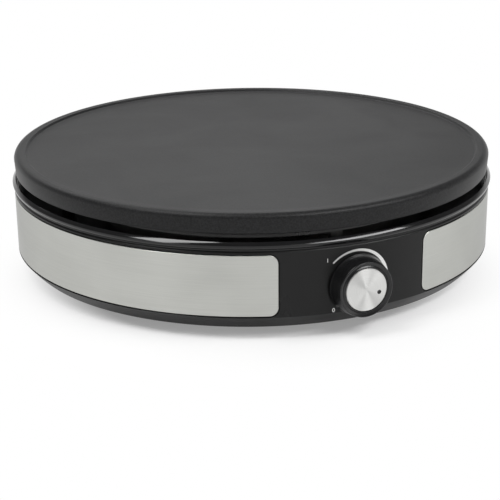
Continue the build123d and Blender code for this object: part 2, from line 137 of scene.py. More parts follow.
class PlateSizes(PropertyGroup):
    radius: distance("Radius", "Widest radius of the plate", PLATE_HIGH.x)
    lip_top: distance("Lip top", "Highest line of the lip", 0.0791)
    skirt_bottom: distance("Skirt bottom", "Lower edge of the skirt", 0.0666)
    thickness: distance("Thickness", "Cooking face to underside", 0.0055)
    lip_rise: distance("Lip rise", "Top of the lip above the cooking face", 0.0014)
    lip_width: distance("Lip width", "Flat land on the lip", 0.0029)
    lip_slope: distance("Lip slope", "Width of the slope from the lip down to the face", 0.0012)
    edge_inset: distance("Edge inset", "Widest radius in to the lip's land", 0.0047)
    edge_drop: distance("Edge drop", "Lip down to the widest line", 0.0034)
    edge_bulge: share("Edge bulge", "How far the rounded edge stands off its chord", 0.2)
    skirt_draft: distance("Skirt draft", "How much the skirt narrows downwards", 0.0007)
    skirt_wall: distance("Skirt wall", "Wall of the skirt", 0.0034)
    boss_radius: distance("Boss radius", "Bosses that the posts meet", 0.0055)
    boss_length: distance("Boss length", "Bosses below the underside", 0.0042)
    boss_bore: distance("Boss bore", "Radius of the bosses' screw holes", 0.0021)
    boss_bore_depth: distance("Boss bore depth", "Depth of those holes", 0.0035)
    pad_width: distance("Pad width", "Pad that the sensor lies against", 0.0246)
    pad_length: distance("Pad length", "Pad along the sensor", 0.044)
    pad_depth: distance("Pad depth", "Pad below the underside", 0.0064)
    pad_middle: distance("Pad middle", "From the axis to the middle of the pad", 0.056)
    pad_overlap: distance("Pad overlap", "How far the pad goes into the plate", 0.0002)
    pad_edge: distance("Pad edge", "Rounding of the pad", 0.0006)
    post_circle: distance("Post circle", "Radius of the circle of posts", 0.129)
    colour: colour("Colour", "Non-stick coating", (0.012, 0.012, 0.0125))


class HousingSizes(PropertyGroup):
    rim_radius: distance("Rim radius", "Widest radius of the rim", HOUSING_HIGH.x)
    rim_top: distance("Rim top", "Highest line of the rim", 0.0618)
    rim_crown: distance("Rim crown", "Highest line down to the widest line", 0.0019)
    rim_land: distance("Rim land", "Widest line in to the highest line", 0.0019)
    top_bulge: share("Top bulge", "How far the rim's top stands off its chord", 0.03)
    side_bulge: share("Side bulge", "How far the rim's side stands off its chord", 0.17)
    groove_height: distance("Groove height", "Dark line between rim and wall", 0.0007)
    groove_radius: distance("Groove radius", "Bottom of the dark line", 0.1598)
    deck_drop: distance("Deck drop", "Rim down to the deck", 0.0041)
    deck_slope: distance("Deck slope", "Width of the slope down to the deck", 0.0015)
    deck_thickness: distance("Deck thickness", "Wall of the deck", 0.0024)
    deck_opening: distance("Deck opening", "Radius of the opening for the reflector", 0.124)
    spigot_radius: distance("Spigot radius", "Outside of the ring that drops into the body", 0.157)
    spigot_depth: distance("Spigot depth", "How far that ring drops", 0.0051)
    spigot_wall: distance("Spigot wall", "Wall of that ring", 0.0026)
    column_radius: distance("Column radius", "Screw columns inside the body", 0.005)
    column_bore: distance("Column bore", "Bore of the columns", 0.0019)
    column_depth: distance("Column depth", "Depth of that bore", 0.018)
    column_circle: distance("Column circle", "Radius of the circle of columns", 0.138)
    colour: colour("Colour", "Glossy housing", (0.0045, 0.0045, 0.005))


class ShellSizes(PropertyGroup):
    wall_radius: distance("Wall radius", "Outside of the wall at its top", SHELL_HIGH.x)
    wall_draft: distance("Wall draft", "How much the wall narrows downwards", 0.0003)
    wall: distance("Wall", "Wall thickness", 0.0034)
    wall_top: distance("Wall top", "Top of the wall", SHELL_HIGH.z)
    wall_edge: distance("Wall edge", "Bevel at the top of the wall", 0.001)
    band_top: distance("Band top", "Where the tapered band begins", PANEL_LOW.z)
    band_taper: distance("Band taper", "How far the band draws in", 0.0084)
    band_bulge: share("Band bulge", "How far the band stands off its chord", 0.02)
    band_wall: distance("Band wall", "Width of the lower edge", 0.003)
    bottom: distance("Lower edge", "Level of the lower edge", SHELL_LOW.z)
    ledge_depth: distance("Ledge depth", "Lower edge up to the ledge", 0.003)
    ledge_width: distance("Ledge width", "Width of the ledge", 0.003)
    ledge_slope: distance("Ledge slope", "Height of the slope above the ledge", 0.009)
    shaft_hole: distance("Shaft hole", "Radius of the hole behind the knob", 0.0039)
    gland_hole: distance("Gland hole", "Radius of the hole at the rear", 0.00615)
    boss_radius: distance("Boss radius", "Bosses for the thermostat's bracket", 0.0034)
    boss_pitch: distance("Boss pitch", "Between those bosses", 0.042)
    boss_front: distance("Boss end", "From the axis to the end of those bosses", 0.1443)
    colour: colour("Colour", "Satin moulding", (0.0135, 0.0135, 0.0135))


class PanelSizes(PropertyGroup):
    fascia_angle: angle("Fascia angle", "From the knob to the nearer edge of a panel", 17.7)
    gauge: distance("Gauge", "Sheet thickness", 0.0008)
    glue: distance("Glue line", "Tape between a panel and its pocket", 0.00025)
    corner: distance("Corner", "Corner radius", 0.0054)
    bevel: distance("Bevel", "Polished bevel round the edge", 0.00012)
    shadow: distance("Shadow gap", "Recess round a panel", 0.0008)
    pocket_edge: distance("Pocket edge", "Rounding of the recess", 0.0002)
    height: distance("Height", "Height of a panel", PANEL_HIGH.z - PANEL_LOW.z)
    columns: steps("Columns", "Divisions along a panel", 120)
    colour: colour("Colour", "Brushed steel", (0.535, 0.54, 0.511))


class KnobSizes(PropertyGroup):
    radius: distance("Radius", "Radius of the flange", (KNOB_HIGH.x - KNOB_LOW.x) / 2)
    flange: distance("Flange", "Thickness of the flange", 0.0008)
    flare: distance("Flare", "Depth of the flare between flange and grip", 0.0014)
    grip_radius: distance("Grip radius", "Radius of the grip", 0.0189)
    grip_draft: distance("Grip draft", "How much the grip narrows outwards", 0.0014)
    depth: distance("Depth", "Seat to the crest of the front ring", 0.0116)
    crown_width: distance("Crown width", "Width of the rounded front edge", 0.0006)
    crown_height: distance("Crown height", "Depth of the rounded front edge", 0.0006)
    crown_bulge: share("Crown bulge", "How far the front edge stands off its chord", 0.15)
    dip: distance("Dip", "Slope of the front ring down to the cap", 0.0003)
    bore: distance("Bore", "Radius of the bore for the shaft", 0.00315)
    bore_depth: distance("Bore depth", "Depth of that bore", 0.00785)
    cap_radius: distance("Cap radius", "Radius of the metal cap", (CAP_HIGH.x - CAP_LOW.x) / 2)
    cap_thickness: distance("Cap thickness", "Thickness of the metal cap", 0.0016)
    cap_proud: distance("Cap proud", "Cap in front of the ring", 0.0002)
    cap_bevel: distance("Cap bevel", "Turned edge of the cap", 0.00015)
    cap_dish: distance("Cap dish", "Depth of the turned face behind its rim", 0.00003)
    seat_radius: distance("Seat radius", "Recess that holds the cap", 0.0139)
    ridge_radius: distance("Ridge radius", "Top of the thin ridge round the cap", 0.0143)
    ridge_foot: distance("Ridge foot", "Where that ridge meets the front ring", 0.0151)
    ridge_height: distance("Ridge height", "Ridge above the front ring", 0.0008)
    pointer_radius: distance("Pointer radius", "Dot that shows the setting", 0.0013)
    pointer_gap: distance("Pointer gap", "Round the dot, in the cap", 0.00005)
    pointer_offset: distance("Pointer offset", "From the knob's axis to the dot", 0.0088)
    pointer_angle: angle("Pointer angle", "Place of the dot at rest", -17.0)
    colour: colour("Body colour", "Black moulding", (0.0065, 0.0065, 0.007))
    cap_colour: colour("Cap colour", "Spun aluminium", (0.78, 0.78, 0.765))


class DialSizes(PropertyGroup):
    thin_radius: distance("Thin end radius", "Outer edge of the printed wedge at its thin end", 0.0226)
    thick_radius: distance("Thick end radius", "Outer edge of the printed wedge at its thick end", 0.0214)
    start: angle("Start", "Thin end of the wedge", 137.0)
    end: angle("End", "Thick end of the wedge", -30.0)
    thin: distance("Thin end", "Width at the thin end", 0.001)
    thick: distance("Thick end", "Width at the thick end", 0.0027)
    ink: distance("Ink", "Thickness of the print", 0.00006)
    figure_height: distance("Figure height", "Height of the printed figures", 0.0026)
    low_angle: angle("Low figure", "Place of the lowest setting's figure", 138.7)
    low_radius: distance("Low figure radius", "From the axis to that figure", 0.0262)
    off_angle: angle("Off figure", "Place of the off figure", 223.5)
    off_radius: distance("Off figure radius", "From the axis to that figure", 0.0216)
    high_angle: angle("High figure", "Place of the highest setting's figure", -45.0)
    high_radius: distance("High figure radius", "From the axis to that figure", 0.0228)
    colour: colour("Colour", "Print", (0.8, 0.8, 0.79))


class UndersideSizes(PropertyGroup):
    foot_radius: distance("Foot radius", "Rubber feet", 0.009)
    foot_circle: distance("Foot circle", "Radius of the circle of feet", 0.112)
    foot_edge: distance("Foot edge", "Rounding of a foot", 0.001)
    foot_hollow: distance("Foot hollow", "Radius of the dimple under a foot", 0.0042)
    hollow_depth: distance("Hollow depth", "Depth of that dimple", 0.0007)
    rib_count: IntProperty(name="Ribs", description="Tread rings under a foot", default=3, min=0, max=8)
    screw_radius: distance("Screw radius", "Shank of the case screws", 0.00175)
    screw_head: distance("Screw head", "Radius of the case screws' heads", 0.0035)
    screw_head_height: distance("Screw head height", "Height of those heads", 0.0024)
    screw_length: distance("Screw length", "Shank length", 0.016)
    screw_seat: distance("Screw seat", "Level that the heads bear on", 0.0098)
    screw_circle: distance("Screw circle", "Radius of the circle of screws", 0.138)
    count: IntProperty(name="Count", description="Feet and screws", default=4, min=3, max=8)


class GlandSizes(PropertyGroup):
    bore: distance("Bore", "Way through for the cord", 0.0036)
    neck: distance("Neck", "Radius of the part in the wall", 0.006)
    flange: distance("Flange", "Radius of the flange", 0.0082)
    flange_width: distance("Flange width", "Thickness of the flange", 0.0012)
    nose: distance("Nose", "Radius of the outer end", 0.0064)
    seat: distance("Seat", "From the axis to the flange's back", 0.161)
    colour: colour("Colour", "Gland", (0.012, 0.012, 0.012))


class StudioSettings(PropertyGroup):
    camera_place: point("Camera place", "Camera location", (-0.4061, -0.9468, 0.3626))
    camera_aim: point("Camera aim", "Direction that the camera looks along", (0.3712, 0.8675, -0.3313), "NONE")
    camera_roll: angle("Camera roll", "Turn of the camera about its aim", -0.607)
    shift: FloatProperty(name="Shift", description="Lens moved sideways, as a share of its view", default=-0.0018)
    lens: FloatProperty(name="Lens", description="Focal length in millimetres", default=112.8, min=10.0)
    floor_size: distance("Floor size", "Width of the floor", 30.0)
    floor_colour: colour("Floor colour", "Pale floor", (0.72, 0.72, 0.72))
    floor_glow: share("Floor glow", "What the floor shows by itself to the eye", 0.28)
    fade_middle: point("Fade middle", "Point that the floor turns plain white around", (-0.018, -0.041, 0.0))
    fade_start: distance("Fade start", "From that point to where the floor begins to turn plain white", 0.1135)
    fade_end: distance("Fade end", "From that point to where the floor is plain white", 0.195)
    world_strength: share("World", "Strength of the room's light", 0.21)
    backdrop_low: share("Backdrop, low", "Sine of the height up to which gloss sees a white backdrop", 0.12)
    backdrop_high: share("Backdrop, high", "Sine of the height where that backdrop ends in the darker room", 0.3)


class CrepeMaker(PropertyGroup):
    plate: PointerProperty(type=PlateSizes)
    housing: PointerProperty(type=HousingSizes)
    shell: PointerProperty(type=ShellSizes)
    panel: PointerProperty(type=PanelSizes)
    knob: PointerProperty(type=KnobSizes)
    dial: PointerProperty(type=DialSizes)
    underside: PointerProperty(type=UndersideSizes)
    gland: PointerProperty(type=GlandSizes)
    studio: PointerProperty(type=StudioSettings)
    around: steps("Steps around", "Divisions of the large turned pieces", 256)
    small_around: steps("Steps around, small", "Divisions of the small turned pieces", 96)


# --- outlines and meshes


def bowed(start, end, bulge, count):
    """Points of an arc from start to end that stands off its chord, to the left of the way."""
    (x0, z0), (x1, z1) = start, end
    across, up = x1 - x0, z1 - z0
    chord = math.hypot(across, up)
    height = chord * bulge
    radius = (chord * chord / 4 + height * height) / (2 * height)
    half = math.asin(min(1.0, chord / 2 / radius))
    points = []
    for i in range(count + 1):
        turn = -half + 2 * half * i / count
        along = 0.5 + radius * math.sin(turn) / chord
        off = (radius * math.cos(turn) - radius + height) / chord
        points.append((x0 + across * along - up * off, z0 + up * along + across * off))
    return points


def rounded(corners, count=5):
    """An open outline from corners given as (x, z, rounding radius)."""
    points = []
    for i, (x, z, radius) in enumerate(corners):
        if radius == 0 or i in (0, len(corners) - 1):
            points.append((x, z))
            continue
        here = Vector((x, z))
        to_last = (Vector(corners[i - 1][:2]) - here).normalized()
        to_next = (Vector(corners[i + 1][:2]) - here).normalized()
        half = to_last.angle(to_next) / 2
        reach = radius / math.tan(half)
        centre = here + (to_last + to_next).normalized() * radius / math.sin(half)
        first, last = here + to_last * reach - centre, here + to_next * reach - centre
        turn = first.angle_signed(last)
        for step in range(count + 1):
            points.append(tuple(centre + Matrix.Rotation(-turn * step / count, 2) @ first))
    return points


def face_rings(radius, level, count):
    """Points across a flat face, from the axis to just short of its radius."""
    return [(radius * i / count, level) for i in range(count)]


def shift(x, y, z):
    return Matrix.Translation((x, y, z))


def show(name, data):
    obj = bpy.data.objects.new(name, data)
    bpy.context.scene.collection.objects.link(obj)
    return obj


def new_mesh(points, faces=()):
    mesh = bpy.data.meshes.new("made")
    mesh.from_pydata(points, [], faces)
    return mesh


def mesh_of(shape):
    """A mesh from a bmesh, which is freed."""
    mesh = bpy.data.meshes.new("shaped")
    shape.to_mesh(mesh)
    shape.free()
    return mesh


def rod_mesh(radius, length, sides=48):
    shape = bmesh.new()
    bmesh.ops.create_cone(shape, cap_ends=True, segments=sides, radius1=radius, radius2=radius, depth=length)
    return mesh_of(shape)


def block_mesh(size, edge=0.0):
    shape = bmesh.new()
    bmesh.ops.create_cube(shape, size=1.0)
    bmesh.ops.scale(shape, vec=size, verts=shape.verts)
    if edge:
        bmesh.ops.bevel(shape, geom=shape.edges[:], offset=edge, segments=2, affect="EDGES")
    return mesh_of(shape)


def tidy_mesh(mesh, sharp=math.radians(32)):
    """Drops loose points, closes seams, points the faces outwards and keeps only real edges sharp."""
    shape = bmesh.new()
    shape.from_mesh(mesh)
    bmesh.ops.delete(shape, geom=[v for v in shape.verts if not v.link_faces], context="VERTS")
    bmesh.ops.remove_doubles(shape, verts=shape.verts, dist=TINY)
    bmesh.ops.dissolve_degenerate(shape, edges=shape.edges, dist=TINY)
    bmesh.ops.recalc_face_normals(shape, faces=shape.faces)
    for face in shape.faces:
        face.smooth = True
    for edge in shape.edges:
        edge.smooth = len(edge.link_faces) != 2 or edge.calc_face_angle(0.0) < sharp
    shape.to_mesh(mesh)
    shape.free()
    return mesh


def joined(*meshes):
    """One mesh from several, each closed in itself; the others are removed."""
    shape = bmesh.new()
    for mesh in meshes:
        shape.from_mesh(mesh)
        bpy.data.meshes.remove(mesh)
    return mesh_of(shape)


def result_of(obj):
    """The plain mesh of an object with its modifiers, which is removed with its own mesh."""
    mesh = bpy.data.meshes.new_from_object(obj.evaluated_get(bpy.context.evaluated_depsgraph_get()))
    obj.modifiers.clear()
    discard(obj)
    return mesh


def discard(obj):
    old = obj.data
    bpy.data.objects.remove(obj)
    bpy.data.batch_remove([old])


def cut(mesh, *cutters):
    """Takes the cutters' volumes out of a closed mesh."""
    body = show("cut_body", mesh)
    tools = [show("cut_tool", tool) for tool in cutters]
    for tool in tools:
        step = body.modifiers.new("Cut", "BOOLEAN")
        step.operation, step.solver, step.object = "DIFFERENCE", "EXACT", tool
    result = result_of(body)
    for tool in tools:
        discard(tool)
    return result


# --- node trees


class Tree:
    """A node tree, with short ways to add nodes and join them."""

    def __init__(self, tree):
        self.tree = tree

    def feed(self, where, value):
        """Links a socket, or a node's first output, to an input, or sets the input's value."""
        if isinstance(value, bpy.types.Node):
            value = value.outputs[0]
        if isinstance(value, bpy.types.NodeSocket):
            self.tree.links.new(value, where)
        else:
            where.default_value = value

    def node(self, kind, links=(), **settings):
        made = self.tree.nodes.new(kind)
        for key, value in settings.items():
            setattr(made, key, value)
        for where, value in dict(links).items():
            self.feed(made.inputs[where], value)
        return made

    def math(self, operation, *values):
        return self.node("ShaderNodeMath", enumerate(values), operation=operation)

    def vector(self, *parts):
        return self.node("ShaderNodeCombineXYZ", enumerate(parts))

    def split(self, vector):
        return self.node("ShaderNodeSeparateXYZ", {0: vector}).outputs

    def polar(self, radius, turn, height):
        """A point from its distance to the Z axis, its angle and its height."""
        x, y = (self.math("MULTIPLY", radius, self.math(way, turn)) for way in ("COSINE", "SINE"))
        return self.vector(x, y, height)

    def off_axis(self, parts):
        """The distance to the Z axis of a point that is given in parts."""
        squares = (self.math("MULTIPLY", part, part) for part in (parts[0], parts[1]))
        return self.math("SQRT", self.math("ADD", *squares))

    def ranged(self, value, start, end, low=0.0, high=1.0):
        """Runs from low to high while the value runs from start to end."""
        return self.node("ShaderNodeMapRange", enumerate((value, start, end, low, high)))

    def noise(self, spot, scale, detail, **more):
        return self.node("ShaderNodeTexNoise", {"Vector": spot, "Scale": scale, "Detail": detail, **more})

    def place(self):
        return self.node("ShaderNodeTexCoord").outputs["Object"]

    def ended(self, **results):
        """Feeds a group's outputs and gives the finished group."""
        for name, value in results.items():
            self.feed(self.ends[name], value)
        return self.tree


def new_group(name, kind, gives, **given):
    """A node group. Its sockets' names have _ for each space, and come with a default or the name of a type."""
    made = Tree(bpy.data.node_groups.new(name, kind))
    for way, sockets in (("OUTPUT", gives), ("INPUT", given)):
        for title, value in sockets.items():
            typed = value if isinstance(value, str) else {int: "Int", float: "Float"}[type(value)]
            socket = made.tree.interface.new_socket(
                name=title.replace("_", " "), in_out=way, socket_type="NodeSocket" + typed
            )
            if typed != value:
                socket.default_value = value
    made.given = made.node("NodeGroupInput").outputs
    made.ends = made.node("NodeGroupOutput").inputs
    return made


def shape_group(name, **given):
    """A group that takes a piece, the given values and a material, and gives a shape."""
    shape = "Geometry"
    return new_group(name, "GeometryNodeTree", {"Geometry": shape}, Piece=shape, **given, Material="Material")


def finished_shape(tree, geometry):
    """Ends a tree in Realize Instances and Set Material."""
    real = tree.node("GeometryNodeRealizeInstances", {"Geometry": geometry})
    painted = tree.node("GeometryNodeSetMaterial", {"Geometry": real, "Material": tree.given["Material"]})
    return tree.ended(Geometry=painted)


def turning_tree(name):
    """Turns an outline about Z: each column of a grid takes the outline's points at its own angle."""
    tree = shape_group(name, Outline_points=8, Steps_around=96)
    given = tree.given
    count, around = given["Outline points"], given["Steps around"]
    grid = tree.node(
        "GeometryNodeMeshGrid",
        {"Size X": 1.0, "Size Y": 1.0, "Vertices X": tree.math("ADD", around, 1.0), "Vertices Y": count},
    )
    index = tree.node("GeometryNodeInputIndex")
    column = tree.math("FLOOR", tree.math("DIVIDE", tree.math("ADD", index, 0.5), count))
    row = tree.math("SUBTRACT", index, tree.math("MULTIPLY", column, count))
    picked = tree.node(
        "GeometryNodeSampleIndex",
        {"Geometry": given["Piece"], "Value": tree.node("GeometryNodeInputPosition"), "Index": row},
        data_type="FLOAT_VECTOR",
        domain="POINT",
    )
    parts = tree.split(picked)
    turn = tree.math("MULTIPLY", tree.math("DIVIDE", column, around), FULL_TURN)
    spot = tree.polar(parts[0], turn, parts[2])
    turned = tree.node("GeometryNodeSetPosition", {"Geometry": grid, "Position": spot})
    return finished_shape(tree, tree.node("GeometryNodeMergeByDistance", {"Geometry": turned, "Distance": TINY}))


def copies_tree(name):
    """Sets copies of a piece round the Z axis, each turned to face outwards."""
    tree = shape_group(name, Count=4, Radius=0.1, First_angle=0.0)
    given = tree.given
    ring = tree.node("GeometryNodeMeshCircle", {"Vertices": given["Count"], "Radius": given["Radius"]})
    turn = tree.math("DIVIDE", tree.math("MULTIPLY", tree.node("GeometryNodeInputIndex"), FULL_TURN), given["Count"])
    placed = tree.node(
        "GeometryNodeInstanceOnPoints",
        {"Points": ring, "Instance": given["Piece"], "Rotation": tree.vector(0.0, 0.0, turn)},
    )
    start = tree.vector(0.0, 0.0, given["First angle"])
    turned = {"Instances": placed, "Rotation": start, "Local Space": False}
    return finished_shape(tree, tree.node("GeometryNodeRotateInstances", turned))


def wrapping_tree(name):
    """Wraps a flat piece round the body's wall: x runs along the wall, y outwards from it, z up."""
    tree = shape_group(name, Wall_radius=0.1607, Draft=0.0003, Lower_level=0.0148, Upper_level=0.0561, Facing=0.0)
    given = tree.given
    parts = tree.split(tree.node("GeometryNodeInputPosition"))
    below = tree.math("SUBTRACT", given["Upper level"], parts[2])
    span = tree.math("SUBTRACT", given["Upper level"], given["Lower level"])
    lean = tree.math("MULTIPLY", tree.math("DIVIDE", below, span), given["Draft"])
    radius = tree.math("ADD", tree.math("SUBTRACT", given["Wall radius"], lean), parts[1])
    turn = tree.math("ADD", tree.math("DIVIDE", parts[0], given["Wall radius"]), given["Facing"])
    spot = tree.polar(radius, turn, parts[2])
    return finished_shape(
        tree, tree.node("GeometryNodeSetPosition", {"Geometry": given["Piece"], "Position": spot})
    )


def tree_named(name, make):
    return bpy.data.node_groups.get(name) or make(name)


def grown(mesh, name, make, material, **inputs):
    """Runs a tree on a mesh and returns the result as a plain mesh; the first mesh is removed."""
    holder = show("tree_holder", mesh)
    grower = holder.modifiers.new("Tree", "NODES")
    grower.node_group = tree_named(name, make)
    sockets = grower.node_group.interface.items_tree
    named = {item.name: item.identifier for item in sockets if item.in_out == "INPUT"}
    grower[named["Material"]] = material
    for key, value in inputs.items():
        grower[named[key.replace("_", " ")]] = value
    return result_of(holder)


def turned_mesh(points, material, around):
    """A closed piece, turned about Z from its outline's (radius, height) points."""
    line = new_mesh([(x, 0.0, z) for x, z in points])
    count = len(points)
    return tidy_mesh(
        grown(line, "Turned piece", turning_tree, material, Outline_points=count, Steps_around=around)
    )


def copied_mesh(mesh, material, count, radius, first_angle=EIGHTH_TURN):
    return grown(
        mesh, "Copies on a circle", copies_tree, material, Count=count, Radius=radius, First_angle=first_angle
    )


def wrapped_mesh(mesh, material, sizes, facing):
    return grown(
        mesh, "Wrapped on the wall", wrapping_tree, material, Wall_radius=sizes.wall_radius, Draft=sizes.wall_draft,
        Lower_level=sizes.band_top, Upper_level=sizes.wall_top, Facing=facing,
    )


# --- shader groups shared by several finishes


def shader_group(name, gives, **given):
    return new_group(name, "ShaderNodeTree", gives, **given)


def grain_group(name):
    """Fine moulded or cast texture, as a height."""
    tree = shader_group(name, {"Height": "Float", "Mask": "Float"}, Grains_per_metre=2500.0, Softness=0.5)
    spot, scale = tree.place(), tree.given["Grains per metre"]
    fine = tree.noise(spot, scale, 2.0, Roughness=0.6)
    cells = tree.node("ShaderNodeTexVoronoi", {"Vector": spot, "Scale": scale})
    mixed = tree.node("ShaderNodeMix", {0: tree.given["Softness"], 2: cells, 3: fine})
    return tree.ended(Height=mixed, Mask=fine)


def handling_group(name):
    """Soft marks from wiping and handling: a roughness that drifts over the surface."""
    gives = {"Roughness": "Float", "Mask": "Float"}
    tree = shader_group(name, gives, Marks_per_metre=18.0, Clean=0.2, Worn=0.3)
    broad = tree.noise(tree.place(), tree.given["Marks per metre"], 5.0, Distortion=0.6)
    return tree.ended(Roughness=tree.ranged(broad, 0.35, 0.7, tree.given["Clean"], tree.given["Worn"]), Mask=broad)


def wall_group(name):
    """Place on the wall, unrolled: x along it, y up, z distance from the axis."""
    tree = shader_group(name, {"Vector": "Vector"}, Radius=0.1607)
    parts = tree.split(tree.place())
    along = tree.math("MULTIPLY", tree.math("ARCTAN2", parts[0], parts[1]), tree.given["Radius"])
    return tree.ended(Vector=tree.vector(along, parts[2], tree.off_axis(parts)))


def brushed_group(name):
    """Lines of a brushing belt, long in x and fine in y."""
    tree = shader_group(name, {"Lines": "Float"}, Vector="Vector", Lines_per_metre=3000.0, Length=60.0)
    parts = tree.split(tree.given["Vector"])
    layers = []
    for spread, offset in ((1.0, 0.0), (0.37, 5.3), (2.3, 11.7)):
        fine = tree.math("MULTIPLY", tree.given["Lines per metre"], spread)
        along = tree.math("MULTIPLY", parts[0], tree.math("DIVIDE", fine, tree.given["Length"]))
        layers.append(tree.noise(tree.vector(along, tree.math("MULTIPLY", parts[1], fine), offset), 1.0, 2.0))
    total = tree.math("ADD", tree.math("ADD", layers[0], layers[1]), layers[2])
    return tree.ended(Lines=tree.math("DIVIDE", total, 3.0))


def ring_group(name):
    """Fine turned rings about an axis that runs along z of the given vector."""
    tree = shader_group(name, {"Rings": "Float", "Radius": "Float"}, Vector="Vector", Rings_per_metre=2000.0)
    parts = tree.split(tree.given["Vector"])
    out = tree.off_axis(parts)
    turn = tree.math("ARCTAN2", parts[0], parts[1])
    drift = 0.6  # how much the rings change on the way round
    sides = (tree.math("MULTIPLY", tree.math(way, turn), drift) for way in ("SINE", "COSINE"))
    spot = tree.vector(tree.math("MULTIPLY", out, tree.given["Rings per metre"]), *sides)
    return tree.ended(Rings=tree.noise(spot, 1.0, 3.0), Radius=out)


# --- finishes


class Finish(Tree):
    """A material with one Principled shader over a base colour."""

    def __init__(self, name, base, roughness, metallic=0.0, **fixed):
        self.material = bpy.data.materials.new(name)
        self.material.use_nodes = True
        super().__init__(self.material.node_tree)
        self.base = base
        self.ports = self.tree.nodes["Principled BSDF"].inputs
        fixed.update(Base_Color=(*base, 1.0), Roughness=roughness, Metallic=metallic)
        for key, value in fixed.items():
            self.ports[key.replace("_", " ")].default_value = value

    def so_far(self, port):
        return self.ports[port].links[0].from_socket

    def shade(self, factor):
        return (*(min(1.0, part * factor) for part in self.base), 1.0)

    def use(self, name, make, **inputs):
        """The outputs of a shared group, with its inputs fed."""
        fed = {key.replace("_", " "): value for key, value in inputs.items()}
        return self.node("ShaderNodeGroup", fed, node_tree=tree_named(name, make)).outputs

    def bump(self, height, depth, strength, under=None):
        links = {"Height": height, "Distance": depth, "Strength": strength}
        if under is not None:
            links["Normal"] = under
        made = self.node("ShaderNodeBump", links)
        self.feed(self.ports["Normal"], made)
        return made

    def grain(self, grains, softness, depth, strength, under=None):
        """Fine grain in the surface; gives its mask."""
        grain = self.use("Fine grain", grain_group, Grains_per_metre=grains, Softness=softness)
        self.bump(grain["Height"], depth, strength, under)
        return grain["Mask"]

    def marks(self, per_metre, clean, worn):
        """Handling marks in the roughness; gives their mask."""
        marks = self.use("Handling marks", handling_group, Marks_per_metre=per_metre, Clean=clean, Worn=worn)
        self.feed(self.ports["Roughness"], marks["Roughness"])
        return marks["Mask"]

    def roughen(self, more):
        self.feed(self.ports["Roughness"], self.math("ADD", self.so_far("Roughness"), more))

    def blend(self, part, low, high):
        """A base colour that goes from low to high."""
        made = self.node("ShaderNodeMix", {0: part, 6: low, 7: high}, data_type="RGBA")
        self.feed(self.ports["Base Color"], made.outputs[2])

    def tint(self, mask, low, high, start=0.3, end=0.7):
        """A base colour that drifts with a mask between two shades, given as factors."""
        self.blend(self.ranged(mask, start, end), self.shade(low), self.shade(high))


def finish_named(name, make, *given, **named):
    return bpy.data.materials.get(name) or make(name, *given, **named).material


def moulded_plastic(name, base, clean=0.3, worn=0.42, grains=2600.0, depth=0.00002, specular=0.2):
    """Black or coloured moulding with a fine spark-eroded texture."""
    finish = Finish(name, base, clean, Specular_IOR_Level=specular)
    finish.marks(18.0, clean, worn)
    finish.tint(finish.grain(grains, softness=0.7, depth=depth, strength=0.5), 0.85, 1.2)
    return finish


def shell_moulding(name, base, band_top, band_edge=0.0002, band_coat=0.12):
    """The body's moulding: spark-eroded walls, and a smoother tapered band below them."""
    finish = moulded_plastic(name, base, clean=0.26, worn=0.36)
    band = finish.ranged(finish.split(finish.place())[2], band_top, band_top - band_edge, 0.0, band_coat)
    finish.feed(finish.ports["Coat Weight"], band)
    finish.ports["Coat Roughness"].default_value = 0.4
    finish.roughen(band)
    return finish


def glossy_plastic(name, base):
    """Polished moulding: near flat, with the faint waviness and wipe marks of a gloss tool face."""
    finish = Finish(name, base, 0.09, Specular_IOR_Level=0.42)
    finish.grain(140.0, softness=1.0, depth=0.00002, strength=0.35)
    finish.tint(finish.marks(30.0, clean=0.07, worn=0.15), 0.9, 1.25)
    return finish


def coated_casting(name, base):
    """Non-stick coating on a turned casting: sprayed speckle over faint rings."""
    finish = Finish(name, base, 0.42, Specular_IOR_Level=0.24)
    rings = finish.use("Turned rings", ring_group, Vector=finish.place(), Rings_per_metre=900.0)
    lathe = finish.bump(rings["Rings"], depth=0.00005, strength=0.35)
    finish.marks(14.0, clean=0.4, worn=0.46)
    speckle = finish.grain(950.0, softness=0.55, depth=0.00008, strength=0.65, under=lathe)
    finish.tint(speckle, 0.6, 1.6, start=0.36, end=0.66)
    return finish


def brushed_steel(name, base, radius):
    """Belt-brushed sheet with its lines along the wall."""
    dim = (0.72, 0.72, 0.72, 1.0)
    finish = Finish(name, base, 0.34, 1.0, Anisotropic=0.9, Anisotropic_Rotation=0.25, Specular_Tint=dim)
    wall = finish.use("Unrolled wall", wall_group, Radius=radius)["Vector"]
    lines = finish.use("Brushed lines", brushed_group, Vector=wall, Lines_per_metre=6500.0, Length=160.0)["Lines"]
    finish.marks(22.0, clean=0.3, worn=0.38)
    finish.tint(lines, 0.93, 1.05, start=0.36, end=0.64)
    finish.bump(lines, depth=0.000012, strength=0.3)
    return finish


